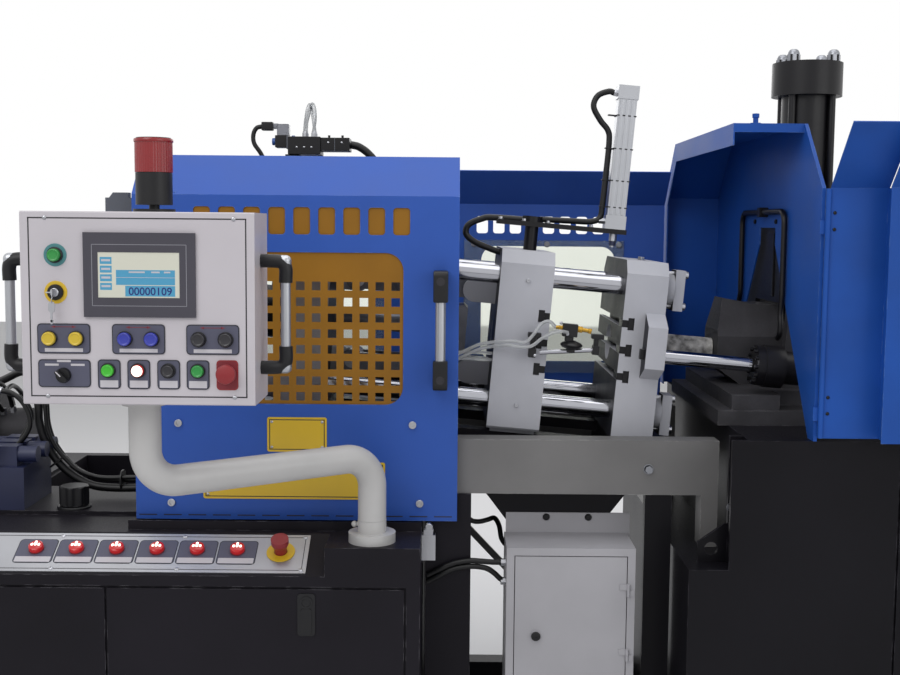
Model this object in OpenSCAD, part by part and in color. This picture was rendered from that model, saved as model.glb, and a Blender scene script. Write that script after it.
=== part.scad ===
// Hot-chamber die casting machine. The clamp unit is on the left, the furnace and
// injection unit on the right. X runs from the clamp to the furnace, Y to the back, Z up.
// The origin is on the floor, in the middle of the four anchor bolts.

/* [Bases] */
// Length over both bases
machine_l = 2900; // [2800:10:3100]
// Half width of the clamp base
base_half_w = 539; // [520:1:600]
// Height of the base plates above the floor
foot_h = 60; // [50:1:80]
// Height of the clamp base top
base_top = 791; // [780:1:800]
// Right end of the clamp base
base_end_x = -62; // [-70:1:-60]
// Height of the step at the console
console_low = 726; // [715:1:735]
// Depth of the sloped console
console_depth = 123; // [110:1:130]
// Right end of the sloped console
console_end_x = -273; // [-290:1:-260]
// Height of the furnace base top
furnace_top = 1033; // [1030:1:1036]
// Height of the lower step of the furnace base
furnace_step = 740; // [720:1:760]
// Left end of the lower furnace base
furnace_step_x = 538; // [530:1:545]
// Left edge of the front apron
apron_x = 627; // [615:1:635]
// Left end of the upper furnace base
furnace_x = 665; // [662:1:675]
// Half width of the furnace base and the hood
hood_half_w = 508; // [500:1:530]
// Distance of the anchor holes from the middle, along X
anchor_x = 1350; // [1320:1:1380]
// Distance of the anchor holes from the middle, along Y
anchor_y = 450; // [430:1:470]
// Radius of the anchor holes
anchor_r = 9; // [7:0.5:12]
// Thickness of the foot plates
foot_plate_t = 20; // [16:1:25]

/* [Bed] */
// Height of the underside of the beams
beam_low = 865; // [860:1:870]
// Height of the top of the beams
beam_top = 996; // [990:1:1000]
// Distance from the middle to the beams' inner faces
beam_in = 250; // [248:1:255]
// Width of a beam
beam_w = 60; // [50:1:65]
// Wall of a beam
beam_wall = 8; // [6:1:12]
// Left end of the beams
beam_x0 = -520; // [-540:1:-500]
// Width of the leg under the beams
leg_w = 108; // [100:1:112]
// Height of the lower frame rails
lower_top = 240; // [220:1:260]

/* [Clamp] */
// Slope of the clamp unit, down to the furnace
clamp_tilt = 4.7; // [4:0.1:5.5]
// X of the fixed platen's working face on the clamp axis
fixed_face_x = 413.5; // [410:0.5:420]
// Height of that point
fixed_face_z = 1203; // [1200:1:1206]
// Side length of the platens
platen_w = 440; // [430:1:442]
// Chamfer on the corners of the platens
platen_chamfer = 32; // [20:1:40]
// Thickness of the fixed platen
fixed_t = 102; // [90:1:110]
// Thickness of the moving platen
moving_t = 130; // [110:1:140]
// Thickness of the tail platen
tail_t = 110; // [90:1:120]
// Gap between the platens with the clamp closed
daylight = 176; // [170:1:190]
// Opening stroke
stroke = 150; // [120:5:160]
// Tie bar radius
tie_r = 22.5; // [20:0.5:25]
// Distance between tie bars
tie_pitch = 310; // [300:1:314]
// Pitch of the slots in the platen faces
slot_pitch = 65; // [60:1:70]
// Width of the slot neck
slot_neck = 18; // [16:1:20]
// Width of the slot head
slot_head = 30; // [26:1:32]
// Radius of the bore in the fixed platen
platen_bore_r = 46; // [40:1:48]
// Radial clearance at sliding and turning fits
fit = 0.08; // [0.05:0.01:0.1]

/* [Toggle] */
// Length of each main link between pins
link_l = 150; // [145:1:160]
// Height of the toggle pins above and below the axis
toggle_z = 105; // [104:1:112]
// Reach of the lugs from the platens
lug_reach = 55; // [50:1:60]
// Radius of lugs and link ends
eye_r = 30; // [28:0.5:31]
// Radius of the toggle pins
pin_r = 18; // [15:1:20]
// Half thickness of the middle links
lane_in = 31; // [26:1:31]
// Outer face of the fork plates
lane_out = 56; // [54:1:57]
// Distance from the tail pin to the drag link's pin
drag_d = 110; // [105:1:112]
// Half height of the crosshead pins
cross_z = 45; // [42:1:46]
// Radius of the clamp piston rod
rod_r = 25; // [22:1:28]

/* [Door] */
// Left edge of the sliding door
door_x0 = -737; // [-745:1:-730]
// Right edge of the sliding door
door_x1 = 20; // [15:1:25]
// Y of the door's outer face
door_y = -347; // [-350:1:-345]
// Lower edge of the door
door_z0 = 806; // [804:1:810]
// Height of the bend
bend_z = 1568; // [1560:1:1575]
// Run and rise of the sloped top
slope_run = 95; // [85:1:100]
// Thickness of the sheets
sheet_t = 3; // [2:0.5:4]
// Depth of the folded edges
fold_d = 20; // [15:1:24]
// Left edge of the window
window_x0 = -605; // [-615:1:-595]
// Right edge of the window
window_x1 = -109; // [-115:1:-100]
// Lower edge of the window
window_z0 = 1082; // [1075:1:1090]
// Upper edge of the window
window_z1 = 1437; // [1425:1:1445]
// Corner radius of the window
window_r = 42; // [30:1:50]
// Number of slots above the window
slot_count = 9; // [6:1:10]
// Side of the square holes in the grille
mesh_hole = 20; // [16:1:24]
// Pitch of the square holes
mesh_pitch = 37; // [34:0.5:40]
// Y of the rear guard's outer face
rear_y = 480; // [470:1:490]

/* [Hood] */
// Left end of the hood
hood_x0 = 643; // [642:1:655]
// X of the cross wall
hood_wall_x = 805; // [795:1:812]
// Height of the hood's bend
hood_bend = 1590; // [1580:1:1600]
// Height of the roof
hood_top = 1740; // [1730:1:1745]
// Width of the frame round the open end
hood_lip = 50; // [40:1:50]
// Width of each guard leaf
leaf_w = 128; // [120:1:132]

/* [Injection] */
// X of the injection cylinder
shot_x = 911; // [905:1:915]
// Radius of the cylinder cap
cap_r = 88; // [84:1:92]
// Radius of the cylinder tube
tube_r = 62; // [58:1:66]
// Spacing of the tie rods
shot_pitch = 101; // [98:1:104]
// Height of the cap's underside
cap_z = 1838; // [1830:1:1850]
// Height of the cap's top
cap_top = 1922; // [1915:1:1930]
// Height of the plate under the cylinder
yoke_z = 1500; // [1480:5:1520]
// Nozzle radius
nozzle_r = 34; // [30:1:36]
// Distance of the traverse rods from the middle
traverse_y = 250; // [246:1:252]
// Radius of the traverse rods
traverse_rod_r = 17; // [14:0.5:18]

/* [Control panel] */
// Width of the control box
box_w = 440; // [430:1:450]
// Height of the control box
box_h = 365; // [355:1:375]
// Depth of the control box
box_d = 155; // [145:1:165]
// Left side of the control box
box_x0 = -808; // [-812:1:-802]
// Y of its front
box_y = -875; // [-880:1:-870]
// Height of its underside
box_z = 1157; // [1153:1:1161]
// Outer radius of the support pipe
pipe_r = 31.75; // [29:0.25:34]
// Wall of the support pipe
pipe_wall = 5; // [4:0.5:8]
// Bend radius of the pipe
pipe_bend = 68; // [60:1:75]
// Height of the horizontal pipe
pipe_z = 985; // [980:1:995]
// X and Y of the swivel
swivel = [-172, -475]; // [-500:1:0]
// Height of the swivel's seam
swivel_z = 841; // [836:1:845]

/* [Heater cabinet] */
// Left side of the small cabinet
cab_x0 = 137; // [132:1:142]
// Width of the small cabinet
cab_w = 301; // [295:1:305]
// Height of its top
cab_top = 754; // [750:1:758]
// Height of the small cabinet
cab_h = 400; // [390:1:410]
// Y of its front
cab_y = -389; // [-392:1:-385]
// Depth of the small cabinet
cab_d = 150; // [145:1:155]
// Border round its door
cab_border = 18; // [15:1:22]
// Thickness of the cabinet door
cab_door_t = 15; // [10:1:18]

/* [Hidden] */
$fn = 48;
eps = 1;

half_l = machine_l / 2;
half_w = platen_w / 2;
moving_x = -daylight - moving_t;
front_pin_x = moving_x - lug_reach;
mid_pin_x = front_pin_x - link_l;
tail_pin_x = mid_pin_x - link_l;
tail_x = tail_pin_x - lug_reach;
tail_back_x = tail_x - tail_t;
fold_angle = acos(1 - stroke / (2 * link_l));
// Where the drag link's far pin lies with the clamp closed and open
drag_shut = [tail_pin_x + drag_d, toggle_z];
drag_open = [tail_pin_x + drag_d * cos(fold_angle), toggle_z + drag_d * sin(fold_angle)];
drag_rise_shut = drag_shut[1] - cross_z;
drag_rise_open = drag_open[1] - cross_z;
drag_gap = drag_open[0] - drag_shut[0] + stroke;
drag_run_open = (drag_rise_open ^ 2 - drag_rise_shut ^ 2 - drag_gap ^ 2) / (2 * drag_gap);
drag_run = drag_run_open + drag_gap;
drag_l = norm([drag_run, drag_rise_shut]);
cross_x = drag_shut[0] + drag_run;
door_inner = door_y + sheet_t;
hood_run = hood_top - hood_bend;
tank_lid_t = 9;
swivel_run = [box_x0 + box_w / 2 - 13, box_y + box_d / 2 + 12] - swivel;
beam_x1 = furnace_x - 22;

function unit(v) = v / norm(v);
function left_of(v) = [-v[1], v[0]];
function miter(a, b, c, t) =
    let (n1 = left_of(unit(b - a)), n2 = left_of(unit(c - b)), m = unit(n1 + n2))
    b + m * t / (m * n1);
function offset_path(p, t) = let (n = len(p) - 1) [for (i = [0 : n])
    i == 0 ? p[0] + left_of(unit(p[1] - p[0])) * t
    : i == n ? p[n] + left_of(unit(p[n] - p[n - 1])) * t
    : miter(p[i - 1], p[i], p[i + 1], t)];
function reversed(p) = [for (i = [len(p) - 1 : -1 : 0]) p[i]];

// Axis-aligned block between two corners
module block(a, b) {
    translate(a) cube(b - a);
}

// Extrudes a Y-Z outline along X
module along_x(x0, x1) {
    translate([x0, 0, 0]) rotate([90, 0, 90]) linear_extrude(x1 - x0) children();
}

// Extrudes an X-Z outline along Y
module along_y(y0, y1) {
    translate([0, y1, 0]) rotate([90, 0, 0]) linear_extrude(y1 - y0) children();
}

// Sheet that follows a path in Y and Z, thickened to its left
module folded_sheet(path, t, x0, x1) {
    along_x(x0, x1) polygon(concat(path, reversed(offset_path(path, t))));
}

module rounded_window(x0, z0, x1, z1, r) {
    for (x = [x0 + r, x1 - r], z = [z0 + r, z1 - r]) translate([x, z]) circle(r);
    translate([x0 + r, z0]) square([x1 - x0 - 2 * r, z1 - z0]);
    translate([x0, z0 + r]) square([x1 - x0, z1 - z0 - 2 * r]);
}

// Places children in the sloped frame of the clamp unit
module clamp_frame() {
    translate([fixed_face_x, 0, fixed_face_z]) rotate([0, clamp_tilt, 0]) children();
}

module at_tie_bars() {
    for (y = [-1, 1], z = [-1, 1]) translate([0, y * tie_pitch / 2, z * tie_pitch / 2]) children();
}

module x_cylinder(r, x0, x1) {
    translate([x0, 0, 0]) rotate([0, 90, 0]) cylinder(r = r, h = x1 - x0);
}

module y_cylinder(r, y0, y1) {
    translate([0, y0, 0]) rotate([-90, 0, 0]) cylinder(r = r, h = y1 - y0);
}

module z_cylinder(x, y, r, z0, z1) {
    translate([x, y, z0]) cylinder(r = r, h = z1 - z0);
}

// Clamp base with the sloped console recess and panel seams
track_y = [-391, -313];
panel_seam_z = 697;
panel_seam_x = -97;
seam_w = 5;
seam_depth = 6;
lid_y = [-255, 24];
lid_x1 = -710;
well_x = [-1110, -750];
well_y = [40, 500];
well_depth = 110;
module base_cabinet() color([0.15, 0.15, 0.18]) {
    difference() {
        block([-half_l, -base_half_w, foot_h], [base_end_x, base_half_w, base_top]);
        along_x(-half_l - eps, console_end_x) polygon([
            [-base_half_w - eps, console_low], [-base_half_w, console_low],
            [-base_half_w + console_depth, base_top], [-base_half_w + console_depth, base_top + eps],
            [-base_half_w - eps, base_top + eps]]);
        block([well_x[0], well_y[0], base_top - well_depth], [well_x[1], well_y[1], base_top + eps]);
        for (s = [-1, 1]) {
            panel_seams(s);
            block([-half_l - eps, s > 0 ? base_half_w - 30 : -base_half_w - eps, foot_h - eps],
                [base_end_x + eps, s > 0 ? base_half_w + eps : -base_half_w + 30, foot_h + 80]);
        }
    }
    block([-half_l + 60, lid_y[0], base_top], [lid_x1, lid_y[1], base_top + tank_lid_t]);
    block([-half_l + 30, lid_y[1] - eps, base_top], [well_x[0] - 10, 330, base_top + tank_lid_t]);
    for (y = [track_y[0], track_y[1] - 3])
        block([door_x0 - 8, y, base_top], [base_end_x, y + 3, base_top + 22]);
}

module panel_seams(s) {
    y0 = s > 0 ? base_half_w - seam_depth : -base_half_w - eps;
    y1 = s > 0 ? base_half_w + eps : -base_half_w + seam_depth;
    block([-half_l - eps, y0, panel_seam_z], [panel_seam_x + seam_w, y1, panel_seam_z + seam_w]);
    for (x = [panel_seam_x, -760])
        block([x, y0, foot_h + 110], [x + seam_w, y1, panel_seam_z + seam_w]);
    block([-half_l - eps, y0, foot_h + 110], [panel_seam_x + seam_w, y1, foot_h + 110 + seam_w]);
}

// Frame that lies on the console slope: x along the machine, y up the slope
slope_angle = atan2(base_top - console_low, console_depth);
module on_console() {
    translate([0, -base_half_w, console_low]) rotate([slope_angle, 0, 0]) children();
}

plate_x0 = -1130;
plate_x1 = -316;
plate_up = 8;
plate_h = 123;
plate_t = 2.5;
button_pitch = 91;
button_x1 = -476;
button_up = 77;
stop_up = 74;
module console_plate() color([0.8, 0.8, 0.83]) on_console() {
    translate([plate_x0, plate_up, 0]) cube([plate_x1 - plate_x0, plate_h, plate_t]);
}

module console_buttons() color([0.75, 0.1, 0.1]) on_console() {
    for (i = [0 : 5]) translate([button_x1 - i * button_pitch, button_up, plate_t]) {
        cylinder(r = 19, h = 4);
        cylinder(r = 15.5, h = 15);
    }
}

stop_x = -378;
module emergency_stop() color([0.65, 0.08, 0.08]) on_console() {
    translate([stop_x, stop_up, plate_t]) {
        cylinder(r = 31, h = 2);
        cylinder(r = 14, h = 20);
        translate([0, 0, 20]) cylinder(r1 = 17, r2 = 20, h = 8);
        translate([0, 0, 28]) cylinder(r = 20, h = 12);
    }
}

cap_xy = [-925, -214];
filler_r = 37;
module filler_cap() color([0.05, 0.05, 0.06]) {
    translate([cap_xy[0], cap_xy[1], base_top + tank_lid_t]) {
        cylinder(r = filler_r + 4, h = 6);
        difference() {
            cylinder(r = filler_r, h = 55);
            for (i = [0 : 11]) rotate([0, 0, 30 * i]) translate([filler_r + 3, 0, 10])
                cylinder(r = 6, h = 50);
        }
    }
}

motor_r = 105;
motor_xyz = [-half_l + 12, 120, 935];
module pump_motor() color([0.2, 0.22, 0.25]) {
    translate(motor_xyz) {
        x_cylinder(motor_r - 8, 0, 196);
        for (i = [0 : 6]) x_cylinder(motor_r, 14 + i * 26, 20 + i * 26);
        x_cylinder(motor_r + 12, 196, 214);
        x_cylinder(60, 214, 300);
        block([30, -90, -motor_xyz[2] + base_top + tank_lid_t], [180, 90, -70]);
        block([50, -60, 80], [150, 60, 150]);
    }
}

manifold_x = [-half_l + 300, -half_l + 414];
manifold_y = [-250, -50];
manifold_top = 905;
module hydraulic_manifold() color([0.12, 0.14, 0.2]) {
    z0 = base_top + tank_lid_t;
    block([manifold_x[0], manifold_y[0], z0], [manifold_x[1], manifold_y[1], manifold_top]);
    for (i = [0 : 2]) {
        y = manifold_y[0] + 34 + i * 66;
        block([manifold_x[0] + 20, y - 22, manifold_top], [manifold_x[1] - 20, y + 22, manifold_top + 50]);
        translate([0, y, manifold_top + 28]) {
            x_cylinder(20, manifold_x[1] - 20, manifold_x[1] + 25);
            x_cylinder(20, manifold_x[0] - 45, manifold_x[0] + 20);
        }
    }
}

// Foot plates with jacking screws; the corner plates have anchor holes
screw_dx = 60;
foot_w = 120;
module foot(x, y, out) {
    difference() {
        block([x - 60, y - foot_w / 2, 0], [x + 60, y + foot_w / 2, foot_plate_t]);
        if (out != 0) z_cylinder(x + out * 30, y, anchor_r, -eps, foot_plate_t + eps);
    }
    sx = out == 0 ? x : x - out * 30;
    z_cylinder(sx, y, 12, foot_plate_t - eps, foot_h);
    translate([sx, y, foot_plate_t]) cylinder(r = 20, h = 14, $fn = 6);
}

module leveling_feet() color([0.3, 0.3, 0.32]) {
    for (y = [-anchor_y, anchor_y]) {
        for (s = [-1, 1]) foot(s * (anchor_x - 30), y, s);
        for (x = [-720, -140, 620]) foot(x, y, 0);
    }
}

// Lower rails and the portal leg that carries the beams
rail_in = 256;
module frame_leg() color([0.1, 0.1, 0.11]) {
    for (s = [-1, 1])
        block([base_end_x, s > 0 ? rail_in : -rail_in - beam_w, foot_h],
            [furnace_step_x, s > 0 ? rail_in + beam_w : -rail_in, lower_top]);
    difference() {
        block([-leg_w / 2, -rail_in - beam_w, lower_top], [leg_w / 2, rail_in + beam_w, beam_low]);
        block([-leg_w / 2 - eps, -200, lower_top - eps], [leg_w / 2 + eps, 200, beam_low - 90]);
    }
}

module beam(y0, y1) {
    difference() {
        block([beam_x0, y0, beam_low], [beam_x1, y1, beam_top]);
        block([beam_x0 - eps, y0 + beam_wall, beam_low + beam_wall],
            [beam_x1 + eps, y1 - beam_wall, beam_top - beam_wall]);
    }
}

module pedestal(x0, x1, y0, y1, z0) {
    block([x0, y0, z0], [x1, y1, beam_low]);
}

module front_beam() color([0.43, 0.43, 0.42]) {
    beam(-beam_in - beam_w, -beam_in);
    pedestal(-480, -380, -beam_in - beam_w, -beam_in, base_top);
    pedestal(furnace_x - 62, beam_x1, -beam_in - beam_w, -beam_in, furnace_step);
}

module rear_beam() color([0.43, 0.43, 0.42]) {
    beam(beam_in, beam_in + beam_w);
    pedestal(-480, -380, beam_in, beam_in + beam_w, base_top);
    pedestal(furnace_x - 62, beam_x1, beam_in, beam_in + beam_w, furnace_step);
    block([door_x0, beam_in, beam_top], [hood_x0 - 5, rear_y + 8, beam_top + sheet_t]);
    for (x = [-300, 120, 560])
        block([x, beam_in + beam_w, beam_top - 60], [x + 8, rear_y, beam_top]);
    block([-700, rear_y - 60, base_top], [-660, rear_y - 20, beam_top]);
}

// Cross blocks that carry the sloped clamp unit, and the guide ways
way_gap = 0.4;
shoe_t = 12;
way_h = 26;
module clamp_bed() color([0.4, 0.4, 0.4]) {
    difference() {
        for (x = [[-455, -300], [405, 550]])
            block([x[0], -beam_in, beam_low + 3], [x[1], beam_in, 1300]);
        clamp_frame() translate([-2000, -1000, -half_w]) cube([4000, 2000, 1000]);
    }
    clamp_frame() for (s = [-1, 1]) {
        y = s * tie_pitch / 2;
        block([tail_back_x, y - 25, -half_w - shoe_t - way_gap - way_h],
            [fixed_t - 4, y + 25, -half_w - shoe_t - way_gap]);
    }
}

module platen_outline() {
    c = platen_chamfer;
    h = half_w;
    polygon([[-h + 6, -h], [h - 6, -h], [h, -h + 6], [h, h - c], [h - c, h], [-h + c, h],
        [-h, h - c], [-h, -h + 6]]);
}

// Slots for clamping the die, cut from face x going to side s
module die_slots(x, s) {
    for (i = [-1, 0, 1]) {
        z = i * slot_pitch;
        n0 = s > 0 ? x - eps : x - 16;
        n1 = s > 0 ? x + 16 : x + eps;
        h0 = s > 0 ? x + 14 : x - 29;
        h1 = s > 0 ? x + 29 : x - 14;
        block([n0, -half_w - eps, z - slot_neck / 2], [n1, half_w + eps, z + slot_neck / 2]);
        block([h0, -half_w - eps, z - slot_head / 2], [h1, half_w + eps, z + slot_head / 2]);
    }
}

boss_r = 75;
boss_h = 12;
traverse_z = -4;
lug_l = 47;
module fixed_platen() color([0.68, 0.69, 0.72]) clamp_frame() {
    difference() {
        union() {
            along_x(0, fixed_t) platen_outline();
            x_cylinder(boss_r, fixed_t - 1, fixed_t + boss_h);
            for (s = [-1, 1]) translate([0, 0, traverse_z]) along_x(fixed_t - lug_l, fixed_t)
                polygon([[s * (half_w - 1), -61], [s * (half_w + 60), -30],
                    [s * (half_w + 60), 70], [s * (half_w - 1), 100]]);
        }
        die_slots(0, 1);
        x_cylinder(platen_bore_r, -eps, fixed_t + boss_h + eps);
        at_tie_bars() x_cylinder(tie_r + fit, -eps, fixed_t + eps);
    }
}

// Lug or link end: a round eye at the origin with a web to the side
module eye_web(r, reach, h0, h1) {
    along_y(h0, h1) {
        circle(r);
        translate([reach > 0 ? 0 : reach, -r]) square([abs(reach), 2 * r]);
    }
}

module tail_platen() color([0.62, 0.63, 0.66]) clamp_frame() {
    difference() {
        along_x(tail_back_x, tail_x) platen_outline();
        x_cylinder(rod_r + 2, tail_back_x - eps, tail_x + eps);
        at_tie_bars() x_cylinder(tie_r + fit, tail_back_x - eps, tail_x + eps);
    }
    for (s = [-1, 1]) translate([tail_pin_x, 0, s * toggle_z]) {
        eye_web(eye_r, -lug_reach, -lane_in, lane_in);
        y_cylinder(pin_r, -lane_out, lane_out);
    }
}

module tie_bars() color([0.75, 0.75, 0.78]) clamp_frame() {
    at_tie_bars() x_cylinder(tie_r, tail_back_x - 66, fixed_t + 20);
}

keeper_h = 100;
keeper_w = 64;
keeper_t = 24;
module keeper_plates() color([0.7, 0.71, 0.74]) clamp_frame() {
    at_tie_bars() {
        difference() {
            x_cylinder(38, fixed_t, fixed_t + 22);
            x_cylinder(tie_r + fit, fixed_t - eps, fixed_t + 20 + eps);
        }
        block([fixed_t + 22, -keeper_w / 2, -keeper_h / 2],
            [fixed_t + 22 + keeper_t, keeper_w / 2, keeper_h / 2]);
        for (z = [-39, 39]) translate([0, 0, z]) x_cylinder(7, fixed_t + 46, fixed_t + 56);
        difference() {
            x_cylinder(46, tail_back_x - 44, tail_back_x);
            x_cylinder(tie_r + fit, tail_back_x - 44 - eps, tail_back_x + eps);
        }
    }
}

cyl_flange_t = 28;
cyl_r = 68;
cyl_l = 262;
module clamp_cylinder() color([0.12, 0.12, 0.14]) clamp_frame() {
    difference() {
        union() {
            x_cylinder(95, tail_back_x - cyl_flange_t, tail_back_x);
            x_cylinder(cyl_r, tail_back_x - cyl_flange_t - cyl_l, tail_back_x);
            x_cylinder(80, tail_back_x - cyl_flange_t - cyl_l - 30, tail_back_x - cyl_flange_t - cyl_l);
        }
        x_cylinder(rod_r + fit, tail_back_x - cyl_flange_t, tail_back_x + eps);
        x_cylinder(rod_r + 14, tail_back_x - cyl_flange_t - cyl_l, tail_back_x - cyl_flange_t + eps);
    }
    for (x = [-20, -cyl_l + 10]) translate([tail_back_x - cyl_flange_t + x, 0, cyl_r - 6])
        cylinder(r = 14, h = 30);
}

rail_z = [1512, 1560];
rail_y = [-300, -276];
module door_rail() color([0.3, 0.31, 0.34]) {
    block([-811, rail_y[0], rail_z[0]], [15, rail_y[1], rail_z[1]]);
    along_y(rail_y[0], rail_y[1]) polygon([[-811, rail_z[0]], [-757, rail_z[0]],
        [-757, rail_z[1] + 12], [-793, rail_z[1] + 12], [-811, rail_z[1] - 12]]);
    for (p = [[-700, base_top], [-112, beam_top]])
        block([p[0], rail_y[1], p[1]], [p[0] + 40, rail_y[1] + 40, rail_z[1]]);
}

// Row of upright slots in the band above a window
module slot_band(x0, x1, z0, z1) {
    pitch = (x1 - x0) / slot_count;
    for (i = [0 : slot_count - 1])
        rounded_window(x0 + (i + 0.16) * pitch, z0, x0 + (i + 0.84) * pitch, z1, 8);
}

band_z = [1478, 1541];
module sliding_door() color([0.24, 0.38, 0.68]) {
    difference() {
        union() {
            folded_sheet([[door_y + fold_d, door_z0], [door_y, door_z0], [door_y, bend_z],
                [door_y + slope_run, bend_z + slope_run]], -sheet_t, door_x0, door_x1);
            for (x = [door_x0, door_x1 - sheet_t])
                block([x, door_y, door_z0], [x + sheet_t, door_y + fold_d, bend_z]);
        }
        along_y(door_y - eps, door_inner + eps) {
            rounded_window(window_x0, window_z0, window_x1, window_z1, window_r);
            slot_band(window_x0, window_x1 + 24, band_z[0], band_z[1]);
        }
    }
    for (x = [door_x0 + 18, door_x0 + 67]) difference() {
        block([x, door_inner, rail_z[0] - 14], [x + 34, rail_y[0] - fit, rail_z[1] + 14]);
        translate([x + 17, 0, (rail_z[0] + rail_z[1]) / 2])
            y_cylinder(8, door_inner - eps, rail_y[0] + eps);
    }
}

grille_t = 2;
mesh_cols = 13;
mesh_rows = 8;
module window_grille() color([0.72, 0.53, 0.14]) {
    y0 = door_inner + 0.3;
    along_y(y0, y0 + grille_t) difference() {
        translate([window_x0 - 28, window_z0 - 22])
            square([window_x1 - window_x0 + 58, band_z[1] + 12 - window_z0 + 22]);
        for (i = [0 : mesh_cols - 1], j = [0 : mesh_rows - 1])
            translate([window_x1 - 18 - i * mesh_pitch, window_z0 + 18 + j * mesh_pitch])
                square(mesh_hole, center = true);
    }
}

handle_x = -22;
handle_z = [1140, 1382];
handle_off = 45;
module pull_handle(r, off, length) {
    for (z = [0, length]) translate([0, 0, z]) y_cylinder(r + 2, -off, 0);
    for (z = [0, length]) translate([0, -off, z]) sphere(r + 2);
    z_cylinder(0, -off, r, 0, length);
    for (z = [0, length - 34]) z_cylinder(0, -off, r + 2, z, z + 34);
}

module door_handle() color([0.7, 0.7, 0.72]) {
    translate([handle_x, door_y, handle_z[0]]) pull_handle(12, handle_off, handle_z[1] - handle_z[0]);
}

rear_window_x = [[-627, -227], [92, 492]];
rear_window_z = [1097, 1442];
module rear_guard() color([0.2, 0.33, 0.62]) {
    difference() {
        folded_sheet([[rear_y - fold_d, beam_top + sheet_t], [rear_y, beam_top + sheet_t],
            [rear_y, bend_z], [rear_y - slope_run, bend_z + slope_run]],
            sheet_t, door_x0, hood_x0 - 5);
        along_y(rear_y - sheet_t - eps, rear_y + eps) for (x = rear_window_x) {
            rounded_window(x[0], rear_window_z[0], x[1], rear_window_z[1], window_r);
            slot_band(x[0] - 23, x[1] + 23, band_z[0] + 2, band_z[1] - 10);
        }
    }
}

module rear_window() color([0.8, 0.85, 0.9, 0.4]) {
    for (x = rear_window_x)
        block([x[0] - 52, rear_y - sheet_t - 4.3, rear_window_z[0] - 35],
            [x[1] + 26, rear_y - sheet_t - 0.3, rear_window_z[1] + 18]);
}

hood_path = [[-hood_half_w + hood_run, hood_top], [hood_half_w - hood_run, hood_top],
    [hood_half_w, hood_bend], [hood_half_w, furnace_top]];
wall_flange = 8;
hinge_x = hood_wall_x + wall_flange + 4;
hinge_y = -hood_half_w - 9;
knuckle_h = 30;
knuckle_z = [1110, 1520];
cut_top = [-140, 11];
cut_low = [-467, 338];
cut_z = [1460, 1503];
module hood() color([0.2, 0.34, 0.64]) {
    folded_sheet(hood_path, -sheet_t, hood_x0, hood_wall_x);
    folded_sheet([hood_path[0], hood_path[0] - [0, 20]], sheet_t, hood_x0, hood_wall_x);
    along_x(hood_x0, hood_x0 + sheet_t)
        polygon(concat(hood_path, reversed(offset_path(hood_path, -hood_lip))));
    difference() {
        along_x(hood_wall_x, hood_wall_x + sheet_t) polygon([
            [-hood_half_w, furnace_top], [-hood_half_w, hood_bend], [-hood_half_w + hood_run, hood_top],
            [hood_half_w - hood_run, hood_top], [hood_half_w, hood_bend], [hood_half_w, furnace_top]]);
        along_x(hood_wall_x - eps, hood_wall_x + sheet_t + eps) polygon([
            [cut_top[0], cut_z[1]], [cut_top[0], cut_z[0]], [cut_low[0], furnace_top - eps],
            [cut_low[1], furnace_top - eps], [cut_top[1], cut_z[0]], [cut_top[1], cut_z[1]]]);
        clamp_frame() translate([0, traverse_y, traverse_z])
            x_cylinder(barrel_r + 6, flange_x, flange_x + 150);
    }
    folded_sheet([[-hood_half_w, furnace_top], [-hood_half_w, hood_bend],
        [-hood_half_w + hood_run, hood_top]], -sheet_t, hood_wall_x, hood_wall_x + wall_flange);
    for (z = knuckle_z) translate([hinge_x, hinge_y, z - knuckle_h - 0.3]) {
        cylinder(r = 5, h = knuckle_h);
        block([-16, 3, 0], [0, -hood_half_w - hinge_y + 1, knuckle_h]);
    }
}

hood_rod_x = 795;
hood_rod_r = 7;
hood_rod_y = [-255, 158];
hood_rod_z = [1340, 1542];
hood_rod_bend = 30;
module hood_rod() color([0.1, 0.1, 0.11]) {
    b = hood_rod_bend;
    translate([hood_rod_x, 0, 0]) {
        translate([0, 0, hood_rod_z[1]]) y_cylinder(hood_rod_r, hood_rod_y[0] + b, hood_rod_y[1] - b);
        for (y = hood_rod_y) z_cylinder(0, y, hood_rod_r, hood_rod_z[0], hood_rod_z[1] - b);
        translate([0, hood_rod_y[0] + b, hood_rod_z[1] - b]) rotate([90, 0, -90])
            rotate_extrude(angle = 90) translate([b, 0]) circle(hood_rod_r);
        translate([0, hood_rod_y[1] - b, hood_rod_z[1] - b]) rotate([90, 0, 90])
            rotate_extrude(angle = 90) translate([b, 0]) circle(hood_rod_r);
    }
    block([hood_rod_x - 12, -66, hood_rod_z[1] - 12], [hood_wall_x, -42, hood_rod_z[1] + 12]);
}

// Guard leaves, hinged on the cross wall's front edge; drawn folded open
leaf_lift = 8;
module guard_leaf(x0, x1, y, run, z0) {
    folded_sheet([[y, z0], [y, hood_bend], [y - run, hood_bend + run]], -sheet_t, x0, x1);
}

leaf_step = 52;
module guard_door() color([0.2, 0.34, 0.64]) {
    y = hinge_y + 2;
    x1 = hinge_x + 4 + leaf_w;
    guard_leaf(hinge_x + 5.4, x1, y, 130, furnace_top + leaf_lift);
    guard_leaf(x1 - 15, x1 + leaf_w, y - leaf_step, 90, furnace_top + leaf_lift - 2);
    block([x1 - sheet_t, y - leaf_step, furnace_top + leaf_lift], [x1, y + sheet_t, hood_bend]);
    for (z = knuckle_z) translate([hinge_x, hinge_y, z]) {
        cylinder(r = 5, h = knuckle_h);
        block([0, 2, 0], [12, 5, knuckle_h]);
    }
}

module at_shot_rods() {
    for (x = [-1, 1], y = [-1, 1])
        translate([shot_x + x * shot_pitch / 2, y * shot_pitch / 2, 0]) children();
}

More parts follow.
